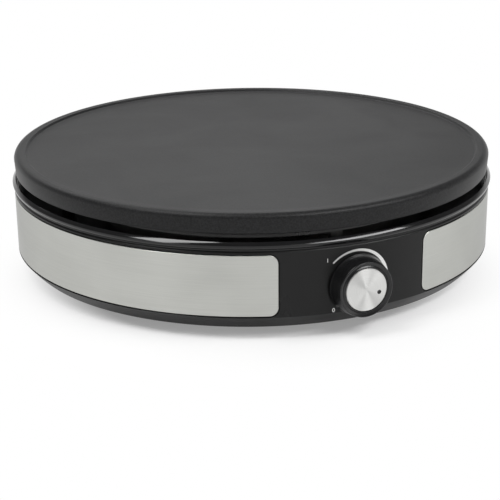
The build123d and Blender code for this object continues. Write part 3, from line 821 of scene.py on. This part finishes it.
def turned_metal(name, base, centre, rim, roughness=0.42, rim_width=0.0004, rim_edge=0.0002):
    """Spun metal with rings about an axis along Y through the centre, and a duller turned rim."""
    finish = Finish(name, base, roughness, 1.0, Anisotropic=0.95, Anisotropic_Rotation=0.25)
    spot = Matrix.Rotation(-QUARTER_TURN, 3, "X") @ Vector(centre)
    moved = {0: finish.place(), "Rotation": (-QUARTER_TURN, 0, 0), "Location": tuple(-spot)}
    moved = finish.node("ShaderNodeMapping", moved, vector_type="POINT")
    cuts = finish.use("Turned rings", ring_group, Vector=moved, Rings_per_metre=7000.0)
    finish.marks(60.0, clean=roughness, worn=roughness + 0.08)
    finish.roughen(finish.ranged(cuts["Radius"], rim - rim_width, rim - rim_edge, 0.0, 0.35))
    finish.tint(cuts["Rings"], 0.95, 1.04, start=0.35, end=0.65)
    finish.bump(cuts["Rings"], depth=0.000004, strength=0.25)
    finish.feed(finish.ports["Tangent"], finish.node("ShaderNodeTangent", direction_type="RADIAL", axis="Y"))
    return finish


def plain_metal(name, base, roughness=0.3, grains=900.0):
    """Plated, rolled or drawn metal inside the body."""
    finish = Finish(name, base, roughness, 1.0)
    finish.grain(grains, softness=0.9, depth=0.00002, strength=0.3)
    finish.tint(finish.marks(70.0, clean=roughness, worn=roughness + 0.18), 0.75, 1.1)
    return finish


ZINC = ("Zinc plating", plain_metal, (0.55, 0.55, 0.53), 0.28)


def gap_shaded_metal(name, base, shade_start, shade_full):
    """Plated steel with painted shade: near black at its upper end, between the two given levels, where the posts
    show in the dark gap under the plate.
    """
    finish = plain_metal(name, base, roughness=0.28)
    # painted shade: the base colour goes near black over the posts' upper ends, in the gap under the plate
    heat = finish.ranged(finish.split(finish.place())[2], shade_start, shade_full)
    finish.blend(heat, finish.so_far("Base Color"), finish.shade(0.03))
    finish.roughen(finish.ranged(heat, 0.0, 1.0, 0.0, 0.3))
    return finish


def glazed_ceramic(name, base):
    finish = Finish(name, base, 0.35)
    finish.grain(800.0, softness=0.8, depth=0.00004, strength=0.4)
    finish.tint(finish.marks(90.0, clean=0.3, worn=0.5), 0.85, 1.0)
    return finish


def soft_rubber(name, base, clean=0.62):
    finish = Finish(name, base, clean, Specular_IOR_Level=0.4)
    finish.grain(1800.0, softness=0.6, depth=0.00004, strength=0.5)
    finish.tint(finish.marks(80.0, clean, worn=clean + 0.15), 0.8, 1.35)
    return finish


def screen_print(name, base):
    """Silver ink, a little uneven at its thin places."""
    finish = Finish(name, base, 0.5, 1.0)
    finish.tint(finish.grain(5000.0, softness=1.0, depth=0.000006, strength=0.3), 0.9, 1.06)
    return finish


def dress(name, mesh, material, body, slot_name, *nodes):
    """Shows a finished piece with its material and its body, and hides the nodes it stands for; slot_name is not
    used.
    """
    mesh.name = name
    mesh.materials.clear()
    mesh.materials.append(material)
    obj = show(name, mesh)
    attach(obj, body)
    if nodes:
        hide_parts(*nodes)


def on_wall(side, mesh, depth=0.0):
    """Stands a piece turned about Z on the front or the rear wall, its +Z outwards at the knob's or gland's axis."""
    out, level = side
    mesh.transform(shift(0, out * depth, level) @ Matrix.Rotation(-out * QUARTER_TURN, 4, "X"))
    return mesh


# --- cooking plate


class CREPE_OT_plate(Operator):
    """Turns the cooking plate with its lip, rounded edge and skirt"""

    bl_idname = "crepe.plate"
    bl_label = "Cooking plate"

    def execute(self, context):
        maker = context.scene.crepe_maker
        s = maker.plate
        finish = finish_named("Coated casting", coated_casting, tuple(s.colour))
        face = s.lip_top - s.lip_rise
        under = face - s.thickness
        crown, widest = (s.radius - s.edge_inset, s.lip_top), (s.radius, s.lip_top - s.edge_drop)
        slope_top = crown[0] - s.lip_width
        slope_foot = slope_top - s.lip_slope
        outer = s.radius - s.skirt_draft
        inner = outer - s.skirt_wall
        lip = rounded([(0, face, 0), (slope_foot, face, 0.0012), (slope_top, s.lip_top, 0.0006), (*crown, 0)])
        edge = bowed(crown, widest, s.edge_bulge, RIM_STEPS)
        side = rounded([
            (*widest, 0), (outer, s.skirt_bottom, 0.0006), (inner, s.skirt_bottom, 0.0006),
            (inner, under, 0.001), (0, under, 0),
        ])
        rings = face_rings(slope_foot, face, FACE_STEPS)
        plate = turned_mesh(rings + lip[1:] + edge[1:] + side[1:], finish, maker.around)

        root, end = under + s.thickness / 2, under - s.boss_length
        bottom = end + s.boss_bore_depth
        boss = rounded([
            (0, root, 0), (s.boss_radius, root, 0), (s.boss_radius, end, 0.0005),
            (s.boss_bore, end, 0), (s.boss_bore, bottom, 0), (0, bottom, 0),
        ])
        boss = turned_mesh(boss, finish, maker.small_around // 2)
        bosses = copied_mesh(boss, finish, 4, s.post_circle, 0.0)
        pad = block_mesh((s.pad_width, s.pad_length, s.pad_depth), s.pad_edge)
        pad.transform(shift(0, -s.pad_middle, under - s.pad_depth / 2 + s.pad_overlap))
        whole = tidy_mesh(joined(plate, bosses, pad))
        dress("plate_casting", whole, finish, "base", "coated_casting", "cooking_plate")
        return {"FINISHED"}


# --- upper housing


class CREPE_OT_housing(Operator):
    """Turns the glossy upper housing with its rim, deck, spigot and screw columns"""

    bl_idname = "crepe.housing"
    bl_label = "Upper housing"

    def execute(self, context):
        maker = context.scene.crepe_maker
        s, wall_top = maker.housing, maker.shell.wall_top
        finish = finish_named("Glossy housing", glossy_plastic, tuple(s.colour))
        widest = (s.rim_radius, s.rim_top - s.rim_crown)
        highest = (s.rim_radius - s.rim_land, s.rim_top)
        groove = (s.groove_radius, wall_top + s.groove_height)
        deck_top = s.rim_top - s.deck_drop
        deck_bottom = deck_top - s.deck_thickness
        spigot_inner, spigot_end = s.spigot_radius - s.spigot_wall, wall_top - s.spigot_depth
        rest = rounded([
            (*groove, 0), (s.groove_radius, wall_top, 0), (s.spigot_radius, wall_top, 0),
            (s.spigot_radius, spigot_end, 0.0004), (spigot_inner, spigot_end, 0.0004),
            (spigot_inner, deck_bottom, 0.0005), (s.deck_opening, deck_bottom, 0.0004),
            (s.deck_opening, deck_top, 0.0004), (highest[0] - s.deck_slope, deck_top, 0.001), (*highest, 0),
        ], 4)
        crown = bowed(highest, widest, s.top_bulge, RIM_STEPS)
        side = bowed(widest, groove, s.side_bulge, RIM_STEPS)
        ring = turned_mesh(crown + side[1:] + rest[1:], finish, maker.around)

        foot, root = HOUSING_LOW.z, deck_bottom + TINY
        end = foot + s.column_depth
        column = rounded([
            (s.column_bore, foot, 0), (s.column_radius, foot, 0.0004), (s.column_radius, root, 0), (0, root, 0),
            (0, end, 0), (s.column_bore, end, 0), (s.column_bore, foot, 0),
        ], 3)
        columns = copied_mesh(turned_mesh(column, finish, 32), finish, 4, s.column_circle)
        dress("housing_rim", joined(ring, columns), finish, "base", "gloss_housing", "upper_housing")
        return {"FINISHED"}


# --- body shell


def patch_rows(height, corner, corner_steps=6):
    """Rows of a rounded rectangle from its lower edge to its upper one, as (rise, inset)."""
    rows = []
    for i in range(corner_steps + 1):
        turn = QUARTER_TURN * i / corner_steps
        rows.append((corner * (1 - math.cos(turn)), corner * (1 - math.sin(turn))))
    top = [(height - rise, inset) for rise, inset in reversed(rows)]
    rows += [(corner + (height - 2 * corner) * i / PATCH_STEPS, 0.0) for i in range(1, PATCH_STEPS)]
    return rows + top


class Skin:
    """Collects the points and faces of a closed piece."""

    def __init__(self):
        self.points, self.faces = [], []

    def add(self, x, y, z):
        self.points.append((x, y, z))
        return len(self.points) - 1

    def about(self, turn, radius, height):
        return self.add(radius * math.cos(turn), radius * math.sin(turn), height)

    def bridge(self, first, second, closed=True):
        """Faces between two rows of points of the same count."""
        count = len(first)
        for i in range(count if closed else count - 1):
            j = (i + 1) % count
            self.faces.append((first[i], first[j], second[j], second[i]))

    def fill(self, rows):
        for lower, upper in zip(rows, rows[1:]):
            self.bridge(lower, upper, closed=False)


def outline_of(rows):
    """The closed outline of a patch's points, anticlockwise from its lower left."""
    right = [row[-1] for row in rows[1:-1]]
    left = [row[0] for row in rows[1:-1]]
    return rows[0] + right + rows[-1][::-1] + left[::-1]


def shell_mesh(s, p):
    """The body shell: one closed skin with two pockets for the steel panels."""
    skin = Skin()
    foot_radius = s.wall_radius - s.wall_draft
    margin = p.shadow + p.pocket_edge
    low, height = s.band_top - margin, p.height + 2 * margin
    half = QUARTER_TURN - p.fascia_angle

    def wall_at(level):
        return foot_radius + s.wall_draft * (level - s.band_top) / (s.wall_top - s.band_top)

    arc = bowed((wall_at(low), low), (foot_radius - s.band_taper, s.bottom), s.band_bulge, BAND_STEPS)

    def outer_at(level):
        if level >= low:
            return wall_at(level)
        for (r0, z0), (r1, z1) in zip(arc, arc[1:]):
            if z1 <= level <= z0:
                return r0 + (r1 - r0) * (z0 - level) / (z0 - z1)
        return arc[-1][0]

    def pocket(facing, grow, depth):
        """Rows of a pocket's points at a depth, its outline drawn in by grow."""
        made = []
        for rise, inset in patch_rows(height - 2 * grow, p.corner + margin - grow):
            level = low + grow + rise
            edge = half + (margin - grow - inset) / s.wall_radius
            radius = outer_at(max(level, s.band_top) if depth > p.pocket_edge * 2 else level) - depth
            turns = (facing - edge + 2 * edge * i / p.columns for i in range(p.columns + 1))
            made.append([skin.about(turn, radius, level) for turn in turns])
        return made

    def fascia(start, end, before, after):
        """Rows of a fascia between two pockets; its side points are the pockets' own."""
        made = []
        for i, (rise, inset) in enumerate(patch_rows(height, p.corner + margin)):
            level, edge = low + rise, half + (margin - inset) / s.wall_radius
            span = end - start - 2 * edge
            turns = (start + edge + span * step / FASCIA_STEPS for step in range(1, FASCIA_STEPS))
            inner = [skin.about(turn, outer_at(level), level) for turn in turns]
            made.append([before[i][-1], *inner, after[i][0]])
        skin.fill(made)
        return made

    def recess(facing):
        """A pocket's rim, rounded edge, side and floor; gives the rows of its rim."""
        rim = pocket(facing, 0.0, 0.0)
        lip = outline_of(pocket(facing, p.pocket_edge, p.pocket_edge))
        floor = pocket(facing, p.pocket_edge, p.gauge + p.glue)
        skin.bridge(lip, outline_of(rim))
        skin.bridge(outline_of(floor), lip)
        skin.fill(floor)
        return rim

    right, left = recess(0.0), recess(math.pi)
    rear, front = fascia(0.0, math.pi, right, left), fascia(-math.pi, 0.0, left, right)
    below, above = (right[row] + rear[row][1:-1] + left[row] + front[row][1:-1] for row in (0, -1))
    edge, ledge = foot_radius - s.band_taper, s.bottom + s.ledge_depth
    inside, inner_edge = s.wall_radius - s.wall, edge - s.band_wall
    up = rounded([
        (outer_at(low + height), low + height, 0), (s.wall_radius, s.wall_top - s.wall_edge, 0.0004),
        (s.wall_radius - s.wall_edge, s.wall_top, 0.0004), (inside, s.wall_top, 0.0004),
        (inside, ledge + s.ledge_slope, 0), (inner_edge - s.ledge_width, ledge, 0), (inner_edge, ledge, 0),
        (inner_edge, s.bottom, 0.0003), (edge, s.bottom, 0),
    ], 4)
    down = [spot for spot in reversed(arc) if spot[1] < low - TINY]
    turns = [math.atan2(skin.points[i][1], skin.points[i][0]) for i in above]
    last = above
    for radius, level in up[1:] + down[1:]:
        ring = [skin.about(turn, radius, level) for turn in turns]
        skin.bridge(last, ring)
        last = ring
    skin.bridge(last, below)
    mesh = new_mesh(skin.points, skin.faces)
    mesh.validate()
    return mesh


class CREPE_OT_shell(Operator):
    """Builds the body shell with its fascias, panel pockets and tapered band"""

    bl_idname = "crepe.shell"
    bl_label = "Body shell"

    def execute(self, context):
        maker = context.scene.crepe_maker
        s, p = maker.shell, maker.panel
        finish = finish_named("Satin housing", shell_moulding, tuple(s.colour), s.band_top - p.shadow)
        reach = s.wall_radius - s.wall / 2
        drill = on_wall(FRONT, rod_mesh(s.shaft_hole, 4 * s.wall), reach)
        drill_rear = on_wall(REAR, rod_mesh(s.gland_hole, 4 * s.wall), reach)
        drilled = tidy_mesh(cut(tidy_mesh(shell_mesh(s, p)), drill, drill_rear))
        bosses = []
        length = s.wall_radius - s.wall - s.boss_front + s.wall / 4
        for side in (-1, 1):
            boss = on_wall(FRONT, rod_mesh(s.boss_radius, length, 32), s.boss_front + length / 2)
            boss.transform(shift(side * s.boss_pitch / 2, 0, 0))
            bosses.append(tidy_mesh(boss))
        dress("shell_wall", joined(drilled, *bosses), finish, "base", "satin_housing", "body_shell")
        return {"FINISHED"}


# --- steel panels


def flat_panel(s, p):
    """A sheet with rounded corners and a bevel, flat: x along the wall, y out, z up."""
    skin = Skin()
    length = 2 * (QUARTER_TURN - p.fascia_angle) * s.wall_radius

    def rows_at(grow, depth):
        made = []
        for rise, inset in patch_rows(p.height - 2 * grow, p.corner - grow, 8):
            half = length / 2 - grow - inset
            spots = (-half + 2 * half * i / p.columns for i in range(p.columns + 1))
            made.append([skin.add(x, -depth, s.band_top + grow + rise) for x in spots])
        return made

    face, rim, back = rows_at(p.bevel, 0.0), rows_at(0.0, p.bevel), rows_at(0.0, p.gauge)
    skin.fill(face)
    skin.fill(back[::-1])
    loops = [outline_of(rows) for rows in (face, rim, back)]
    for first, second in zip(loops, loops[1:]):
        for i in range(len(first)):
            j = (i + 1) % len(first)
            skin.faces.append((first[i], second[i], second[j], first[j]))
    return new_mesh(skin.points, skin.faces)


class CREPE_OT_panels(Operator):
    """Wraps the two brushed steel panels into their pockets"""

    bl_idname = "crepe.panels"
    bl_label = "Steel panels"

    def execute(self, context):
        maker = context.scene.crepe_maker
        s, p = maker.shell, maker.panel
        finish = finish_named("Brushed steel", brushed_steel, tuple(p.colour), s.wall_radius)
        for name, facing, node in (("panel_right", 0.0, "right_panel"), ("panel_left", math.pi, "left_panel")):
            mesh = wrapped_mesh(flat_panel(s, p), finish, s, facing)
            dress(name, tidy_mesh(mesh, math.radians(28)), finish, "base", "brushed_steel", node)
        return {"FINISHED"}


# --- dial print


def figure_mesh(text, height, ink):
    """A plain printed figure, standing in x and z, its middle at the origin."""
    letters = bpy.data.curves.new("figure", "FONT")
    capital = 0.7  # height of a figure, as a share of its type size
    letters.body, letters.size, letters.extrude, letters.resolution_u = text, height / capital, ink / 2, 6
    letters.align_x, letters.align_y = "CENTER", "CENTER"
    mesh = result_of(show("figure", letters))
    mesh.transform(Matrix.Rotation(QUARTER_TURN, 4, "X"))
    xs, zs = [v.co.x for v in mesh.vertices], [v.co.z for v in mesh.vertices]
    mesh.transform(shift(-(min(xs) + max(xs)) / 2, 0, -(min(zs) + max(zs)) / 2))
    return mesh


def wedge_mesh(s):
    """The heat wedge: an arc about the knob that widens clockwise, flat in x and z."""
    points, faces = [], []
    for i in range(WEDGE_STEPS + 1):
        part = i / WEDGE_STEPS
        turn = s.start + (s.end - s.start) * part
        width = s.thin + (s.thick - s.thin) * part
        outer = s.thin_radius + (s.thick_radius - s.thin_radius) * part
        for radius in (outer - width, outer):
            for out in (-s.ink / 2, s.ink / 2):
                points.append((radius * math.cos(turn), out, radius * math.sin(turn)))
    last = 4 * WEDGE_STEPS
    for a in range(0, last, 4):
        faces += [(a + i, a + j, a + 4 + j, a + 4 + i) for i, j in ((0, 1), (1, 3), (3, 2), (2, 0))]
    return new_mesh(points, faces + [(0, 1, 3, 2), (last, last + 2, last + 3, last + 1)])


class CREPE_OT_dial(Operator):
    """Prints the heat wedge and the plain figures on the front fascia"""

    bl_idname = "crepe.dial"
    bl_label = "Dial print"

    def execute(self, context):
        maker = context.scene.crepe_maker
        s = maker.dial
        finish = finish_named("Dial print", screen_print, tuple(s.colour))
        prints = [wedge_mesh(s)]
        for text, turn, radius in (
            ("1", s.low_angle, s.low_radius), ("0", s.off_angle, s.off_radius), ("6", s.high_angle, s.high_radius)
        ):
            figure = figure_mesh(text, s.figure_height, s.ink)
            figure.transform(shift(radius * math.cos(turn), 0, radius * math.sin(turn)))
            prints.append(figure)
        flat = joined(*prints)
        flat.transform(shift(0, 0, KNOB_LEVEL))
        mesh = tidy_mesh(wrapped_mesh(flat, finish, maker.shell, -QUARTER_TURN))
        dress("dial_print", mesh, finish, "base", "satin_housing")
        return {"FINISHED"}


# --- knob


class CREPE_OT_knob(Operator):
    """Turns the knob's black body and its spun metal cap"""

    bl_idname = "crepe.knob"
    bl_label = "Knob"

    def execute(self, context):
        maker = context.scene.crepe_maker
        s, around = maker.knob, maker.small_around * 2
        plastic = finish_named(
            "Knob plastic", moulded_plastic, tuple(s.colour),
            clean=0.19, worn=0.26, grains=3200.0, depth=0.000003, specular=0.45,
        )
        grip_end = s.grip_radius - s.grip_draft
        cap_top = s.depth - s.dip + s.cap_proud
        cap_floor = cap_top - s.cap_thickness
        crest, side_top = (grip_end - s.crown_width, s.depth), (grip_end, s.depth - s.crown_height)
        side = rounded([
            (0, s.bore_depth, 0), (s.bore, s.bore_depth, 0), (s.bore, 0, 0), (s.radius, 0, 0.0003),
            (s.radius, s.flange, 0.00015), (s.grip_radius, s.flange + s.flare, 0.0025), (*side_top, 0),
        ], 6)
        crown = bowed(crest, side_top, s.crown_bulge, CROWN_STEPS)[::-1]
        front = rounded([
            (*crest, 0), (s.ridge_foot, s.depth - s.ridge_height, 0.0002), (s.ridge_radius, s.depth, 0.00015),
            (s.seat_radius, s.depth, 0.0001), (s.seat_radius, cap_floor, 0), (0, cap_floor, 0),
        ], 4)
        body = turned_mesh(side + crown[1:] + front[1:], plastic, around)
        root = cap_floor - s.cap_proud
        dot = s.pointer_radius
        pin = rounded([(0, root, 0), (dot, root, 0), (dot, cap_top, 0.0002), (0, cap_top, 0)], 3)
        pin = turned_mesh(pin, plastic, 32)
        spot = Matrix.Rotation(s.pointer_angle, 4, "Z") @ shift(s.pointer_offset, 0, 0)
        pin.transform(spot)
        whole = tidy_mesh(on_wall(FRONT, joined(body, pin), KNOB_SEAT))
        dress("knob_grip", whole, plastic, "knob", "knob_plastic", "knob_body")

        axis = (0.0, 0.0, KNOB_LEVEL)
        metal = finish_named("Spun aluminium", turned_metal, tuple(s.cap_colour), axis, s.cap_radius)
        dish, face = s.cap_radius - 3 * s.cap_bevel, cap_top - s.cap_dish
        flat = dish - 2 * s.cap_bevel
        rim = rounded([
            (s.cap_radius, cap_floor, 0), (s.cap_radius, cap_top - s.cap_bevel, 0.00015),
            (s.cap_radius - s.cap_bevel, cap_top, 0.00015), (dish, cap_top, 0.0002),
            (dish - s.cap_bevel, face, 0.0002), (flat, face, 0),
        ], 4)
        cap = turned_mesh([(0, cap_floor)] + rim + face_rings(flat, face, CAP_STEPS)[::-1], metal, around)
        hole = rod_mesh(dot + s.pointer_gap, 4 * s.cap_thickness, 40)
        hole.transform(spot @ shift(0, 0, cap_top))
        cap = on_wall(FRONT, tidy_mesh(cut(cap, hole)), KNOB_SEAT)
        dress("knob_disc", cap, metal, "knob", "spun_aluminium", "knob_cap")
        return {"FINISHED"}


# --- underside and rear


class CREPE_OT_underside(Operator):
    """Sets the rubber feet and the case screws under the base cover"""

    bl_idname = "crepe.underside"
    bl_label = "Feet and screws"

    def execute(self, context):
        s = context.scene.crepe_maker.underside
        rubber = finish_named("Foot rubber", soft_rubber, (0.02, 0.02, 0.02))
        hollow = s.hollow_depth
        corners = [(0, hollow, 0), (s.foot_hollow - hollow, hollow, 0.0003), (s.foot_hollow, 0, 0.0003)]
        land = (s.foot_radius - s.foot_edge - s.foot_hollow) / (2 * s.rib_count + 1)
        for i in range(s.rib_count):
            start = s.foot_hollow + land * (2 * i + 1)
            end = start + land
            corners += [(start, 0, 0), (start, hollow / 2, 0), (end, hollow / 2, 0), (end, 0, 0)]
        corners += [(s.foot_radius, 0, s.foot_edge), (s.foot_radius, FOOT_HIGH.z, 0), (0, FOOT_HIGH.z, 0)]
        foot = turned_mesh(rounded(corners), rubber, 64)
        feet = tidy_mesh(copied_mesh(foot, rubber, s.count, s.foot_circle))
        dress("feet_rubber", feet, rubber, "base", "foot_rubber", "rubber_feet")

        zinc = finish_named(*ZINC)
        head, seat = s.screw_seat - s.screw_head_height, s.screw_seat
        flat, dome = s.screw_head * 0.6, s.screw_head_height * 0.55
        screw = rounded([
            (0, head, 0), (flat, head, 0.001), (s.screw_head, head + dome, 0.0006), (s.screw_head, seat, 0.0002),
            (s.screw_radius, seat, 0), (s.screw_radius, seat + s.screw_length - s.screw_radius, 0),
            (0, seat + s.screw_length, 0),
        ], 4)
        slot = (s.screw_head * 1.1, s.screw_head * 0.22, s.screw_head_height)
        blades = [block_mesh(slot), block_mesh(slot)]
        for blade, turn in zip(blades, (0.0, QUARTER_TURN)):
            blade.transform(shift(0, 0, head) @ Matrix.Rotation(turn, 4, "Z"))
        screw = tidy_mesh(cut(turned_mesh(screw, zinc, 40), *blades))
        screws = tidy_mesh(copied_mesh(screw, zinc, s.count, s.screw_circle))
        dress("case_screws", screws, zinc, "base", "zinc_steel", "base_screws")
        return {"FINISHED"}


class CREPE_OT_gland(Operator):
    """Turns the cord gland in the rear wall"""

    bl_idname = "crepe.gland"
    bl_label = "Cord gland"

    def execute(self, context):
        maker = context.scene.crepe_maker
        s = maker.gland
        finish = finish_named("Gland plastic", moulded_plastic, tuple(s.colour), clean=0.4, worn=0.55)
        start, end = GLAND_LOW.y, GLAND_HIGH.y
        points = rounded([
            (s.bore, start, 0), (s.neck, start, 0.0004), (s.neck, s.seat, 0), (s.flange, s.seat, 0.0003),
            (s.flange, s.seat + s.flange_width, 0.0005), (s.nose, end, 0.0008), (s.bore, end, 0.0006),
            (s.bore, start, 0),
        ])
        gland = tidy_mesh(on_wall(REAR, turned_mesh(points, finish, maker.small_around)))
        dress("gland_body", gland, finish, "base", "gland_plastic", "cord_gland")
        return {"FINISHED"}


# --- nodes that keep their own shape

# the nodes, their finish, how it is made, its base colour and its further values
INNER_FINISHES = (
    (("base_cover",), "Cover plastic", moulded_plastic, (0.012, 0.012, 0.0125), 0.5, 0.62, 1600.0, 0.00005),
    (("heating_element", "sensor_bulb", "bulb_clip"),
     "Element steel", plain_metal, (0.16, 0.155, 0.15), 0.45, 1500.0),
    (("heat_reflector", "thermostat_bracket", "thermostat_shaft", "knob_spring"),
     "Pan steel", plain_metal, (0.55, 0.55, 0.55), 0.25, 500.0),
    # the plate posts' upper ends get painted shade, near black, where they show in the gap under the plate
    (("plate_posts",), "Tinted zinc plating", gap_shaded_metal, (0.55, 0.55, 0.53), 0.058, 0.062),
    (("plate_screws", "bracket_screws", "gland_nut"), *ZINC),
    (("thermostat_body",), "Thermostat resin", moulded_plastic, (0.55, 0.5, 0.4), 0.5, 0.65, 1500.0, 0.00004),
    (("capillary_tube",), "Capillary copper", plain_metal, (0.72, 0.36, 0.22), 0.3, 2000.0),
    (("terminal_contacts",), "Contact brass", plain_metal, (0.72, 0.52, 0.2), 0.28, 1500.0),
    (("terminal_block",), "Block ceramic", glazed_ceramic, (0.78, 0.76, 0.7)),
    (("thermal_fuse",), "Fuse sleeve", soft_rubber, (0.7, 0.67, 0.6), 0.7),
    (("live_lead", "heater_lead"), "Live lead", soft_rubber, (0.16, 0.05, 0.02), 0.45),
    (("neutral_lead",), "Neutral lead", soft_rubber, (0.02, 0.08, 0.3), 0.45),
    (("earth_lead",), "Earth lead", soft_rubber, (0.12, 0.3, 0.03), 0.45),
)


class CREPE_OT_inside(Operator):
    """Gives the base cover and the pieces inside the body their finishes"""

    bl_idname = "crepe.inside"
    bl_label = "Inner pieces"

    def execute(self, context):
        for nodes, name, make, *given in INNER_FINISHES:
            finish = finish_named(name, make, *given)
            for node in nodes:
                slots = frame["nodes"][node].data.materials
                slots.clear()
                slots.append(finish)
        return {"FINISHED"}


# --- stage

# name, place, aim, width, height, power
LAMPS = (
    ("Left box", (-0.78, -0.1, 1.5), (0, 0, 0.05), 0.45, 0.8, 11.3),
    ("Right box", (0.58, -0.92, 1.33), (0, 0, 0.05), 1.5, 0.26, 14.0),
    ("Low box", (1.3, -1.1, 0.17), (0, -0.1, 0.03), 0.7, 0.3, 0.6),
    ("Rear box", (0.0, 1.0, 1.2), (0, 0, 0.05), 1.6, 1.0, 10.0),
)


def towards(place, direction):
    """A camera's or lamp's place, looking along a direction."""
    return shift(*place) @ Vector(direction).to_track_quat("-Z", "Y").to_matrix().to_4x4()


def emptied(owner):
    """The tree of a material or a world, without its first nodes."""
    owner.use_nodes = True
    owner.node_tree.nodes.clear()
    return Tree(owner.node_tree)


def seen_rays(tree):
    """1 for rays from the eye, and 1 for those and the ones that come by way of gloss or glass."""
    rays = tree.node("ShaderNodeLightPath").outputs
    passed = tree.math("MAXIMUM", rays["Is Glossy Ray"], rays["Is Transmission Ray"])
    return rays["Is Camera Ray"], tree.math("MAXIMUM", rays["Is Camera Ray"], passed)


def floor_paint(s):
    """Matt and pale round the object, plain white to the eye further out, and clear from below."""
    paint = bpy.data.materials.new("Pale floor")
    tree = emptied(paint)
    eye = seen_rays(tree)[1]
    matt = tree.node("ShaderNodeBsdfDiffuse", {"Color": (*s.floor_colour, 1.0)})
    glow = tree.node("ShaderNodeEmission", {"Strength": tree.math("MULTIPLY", eye, s.floor_glow)})
    both = tree.node("ShaderNodeAddShader", {0: matt, 1: glow})
    away = tree.node("ShaderNodeVectorMath", {0: tree.place(), 1: s.fade_middle}, operation="DISTANCE")
    left_over = tree.ranged(away.outputs["Value"], s.fade_start, s.fade_end, 1.0, 0.0)
    faded = tree.math("SUBTRACT", 1.0, tree.math("POWER", left_over, 2.0))
    plain = tree.node("ShaderNodeEmission")
    ground = tree.node("ShaderNodeMixShader", {0: tree.math("MULTIPLY", faded, eye), 1: both, 2: plain})
    clear = tree.node("ShaderNodeBsdfTransparent")
    behind = tree.node("ShaderNodeNewGeometry").outputs["Backfacing"]
    below = tree.node("ShaderNodeMixShader", {0: behind, 1: ground, 2: clear})
    tree.node("ShaderNodeOutputMaterial", {"Surface": below})
    return paint


def studio_world(s):
    """An even, dim room, in which the eye sees white and gloss sees a white backdrop low down."""
    world = bpy.data.worlds.new("Studio")
    tree = emptied(world)
    camera, eye = seen_rays(tree)
    height = tree.split(tree.node("ShaderNodeTexCoord").outputs["Generated"])[2]
    dusk = tree.ranged(height, s.backdrop_low, s.backdrop_high, 1.0, s.world_strength)
    shown = tree.math("MAXIMUM", dusk, camera)
    room, seen = (
        tree.node("ShaderNodeBackground", {"Color": WHITE, "Strength": strength})
        for strength in (s.world_strength, shown)
    )
    tree.node("ShaderNodeOutputWorld", {"Surface": tree.node("ShaderNodeMixShader", {0: eye, 1: room, 2: seen})})
    return world


class CREPE_OT_stage(Operator):
    """Lays the pale floor and sets the studio's light and camera"""

    bl_idname = "crepe.stage"
    bl_label = "Studio"

    def execute(self, context):
        scene = context.scene
        s = scene.crepe_maker.studio
        scene.view_settings.view_transform = "Standard"
        scene.world = studio_world(s)
        half = s.floor_size / 2
        corners = [(-half, -half, 0), (half, -half, 0), (half, half, 0), (-half, half, 0)]
        floor = show("floor", new_mesh(corners, [(0, 1, 2, 3)]))
        floor.data.materials.append(floor_paint(s))
        for name, place, aim, width, height, power in LAMPS:
            lamp = bpy.data.lights.new(name, "AREA")
            lamp.shape, lamp.size, lamp.size_y, lamp.energy = "RECTANGLE", width, height, power
            show(name, lamp).matrix_world = towards(place, Vector(aim) - Vector(place))
        eye = bpy.data.cameras.new("Camera")
        eye.sensor_width, eye.lens, eye.shift_x = 36.0, s.lens, s.shift
        eye.clip_start, eye.clip_end = 0.01, 100.0
        camera = show("Camera", eye)
        camera.matrix_world = towards(s.camera_place, s.camera_aim) @ Matrix.Rotation(s.camera_roll, 4, "Z")
        scene.camera = camera
        return {"FINISHED"}


# --- the add-on


PIECES = (
    CREPE_OT_plate,
    CREPE_OT_housing,
    CREPE_OT_shell,
    CREPE_OT_panels,
    CREPE_OT_dial,
    CREPE_OT_knob,
    CREPE_OT_underside,
    CREPE_OT_gland,
    CREPE_OT_inside,
    CREPE_OT_stage,
)


class CREPE_PT_panel(Panel):
    """Lists the pieces of the crepe maker"""

    bl_label = "Crepe maker"
    bl_idname = "CREPE_PT_panel"
    bl_space_type = "VIEW_3D"
    bl_region_type = "UI"
    bl_category = "Crepe maker"

    def draw(self, context):
        for piece in PIECES:
            self.layout.operator(piece.bl_idname)
        for name in CrepeMaker.__annotations__:
            self.layout.prop(context.scene.crepe_maker, name)


GROUPS = (
    PlateSizes, HousingSizes, ShellSizes, PanelSizes, KnobSizes, DialSizes, UndersideSizes, GlandSizes,
    StudioSettings, CrepeMaker,
)
CLASSES = (*GROUPS, *PIECES, CREPE_PT_panel)


def register():
    for kind in CLASSES:
        bpy.utils.register_class(kind)
    bpy.types.Scene.crepe_maker = PointerProperty(type=CrepeMaker)


def unregister():
    del bpy.types.Scene.crepe_maker
    for kind in reversed(CLASSES):
        bpy.utils.unregister_class(kind)


def main():
    register()
    for piece in PIECES:
        group, name = piece.bl_idname.split(".")
        getattr(getattr(bpy.ops, group), name)()


if __name__ == "__main__":
    main()
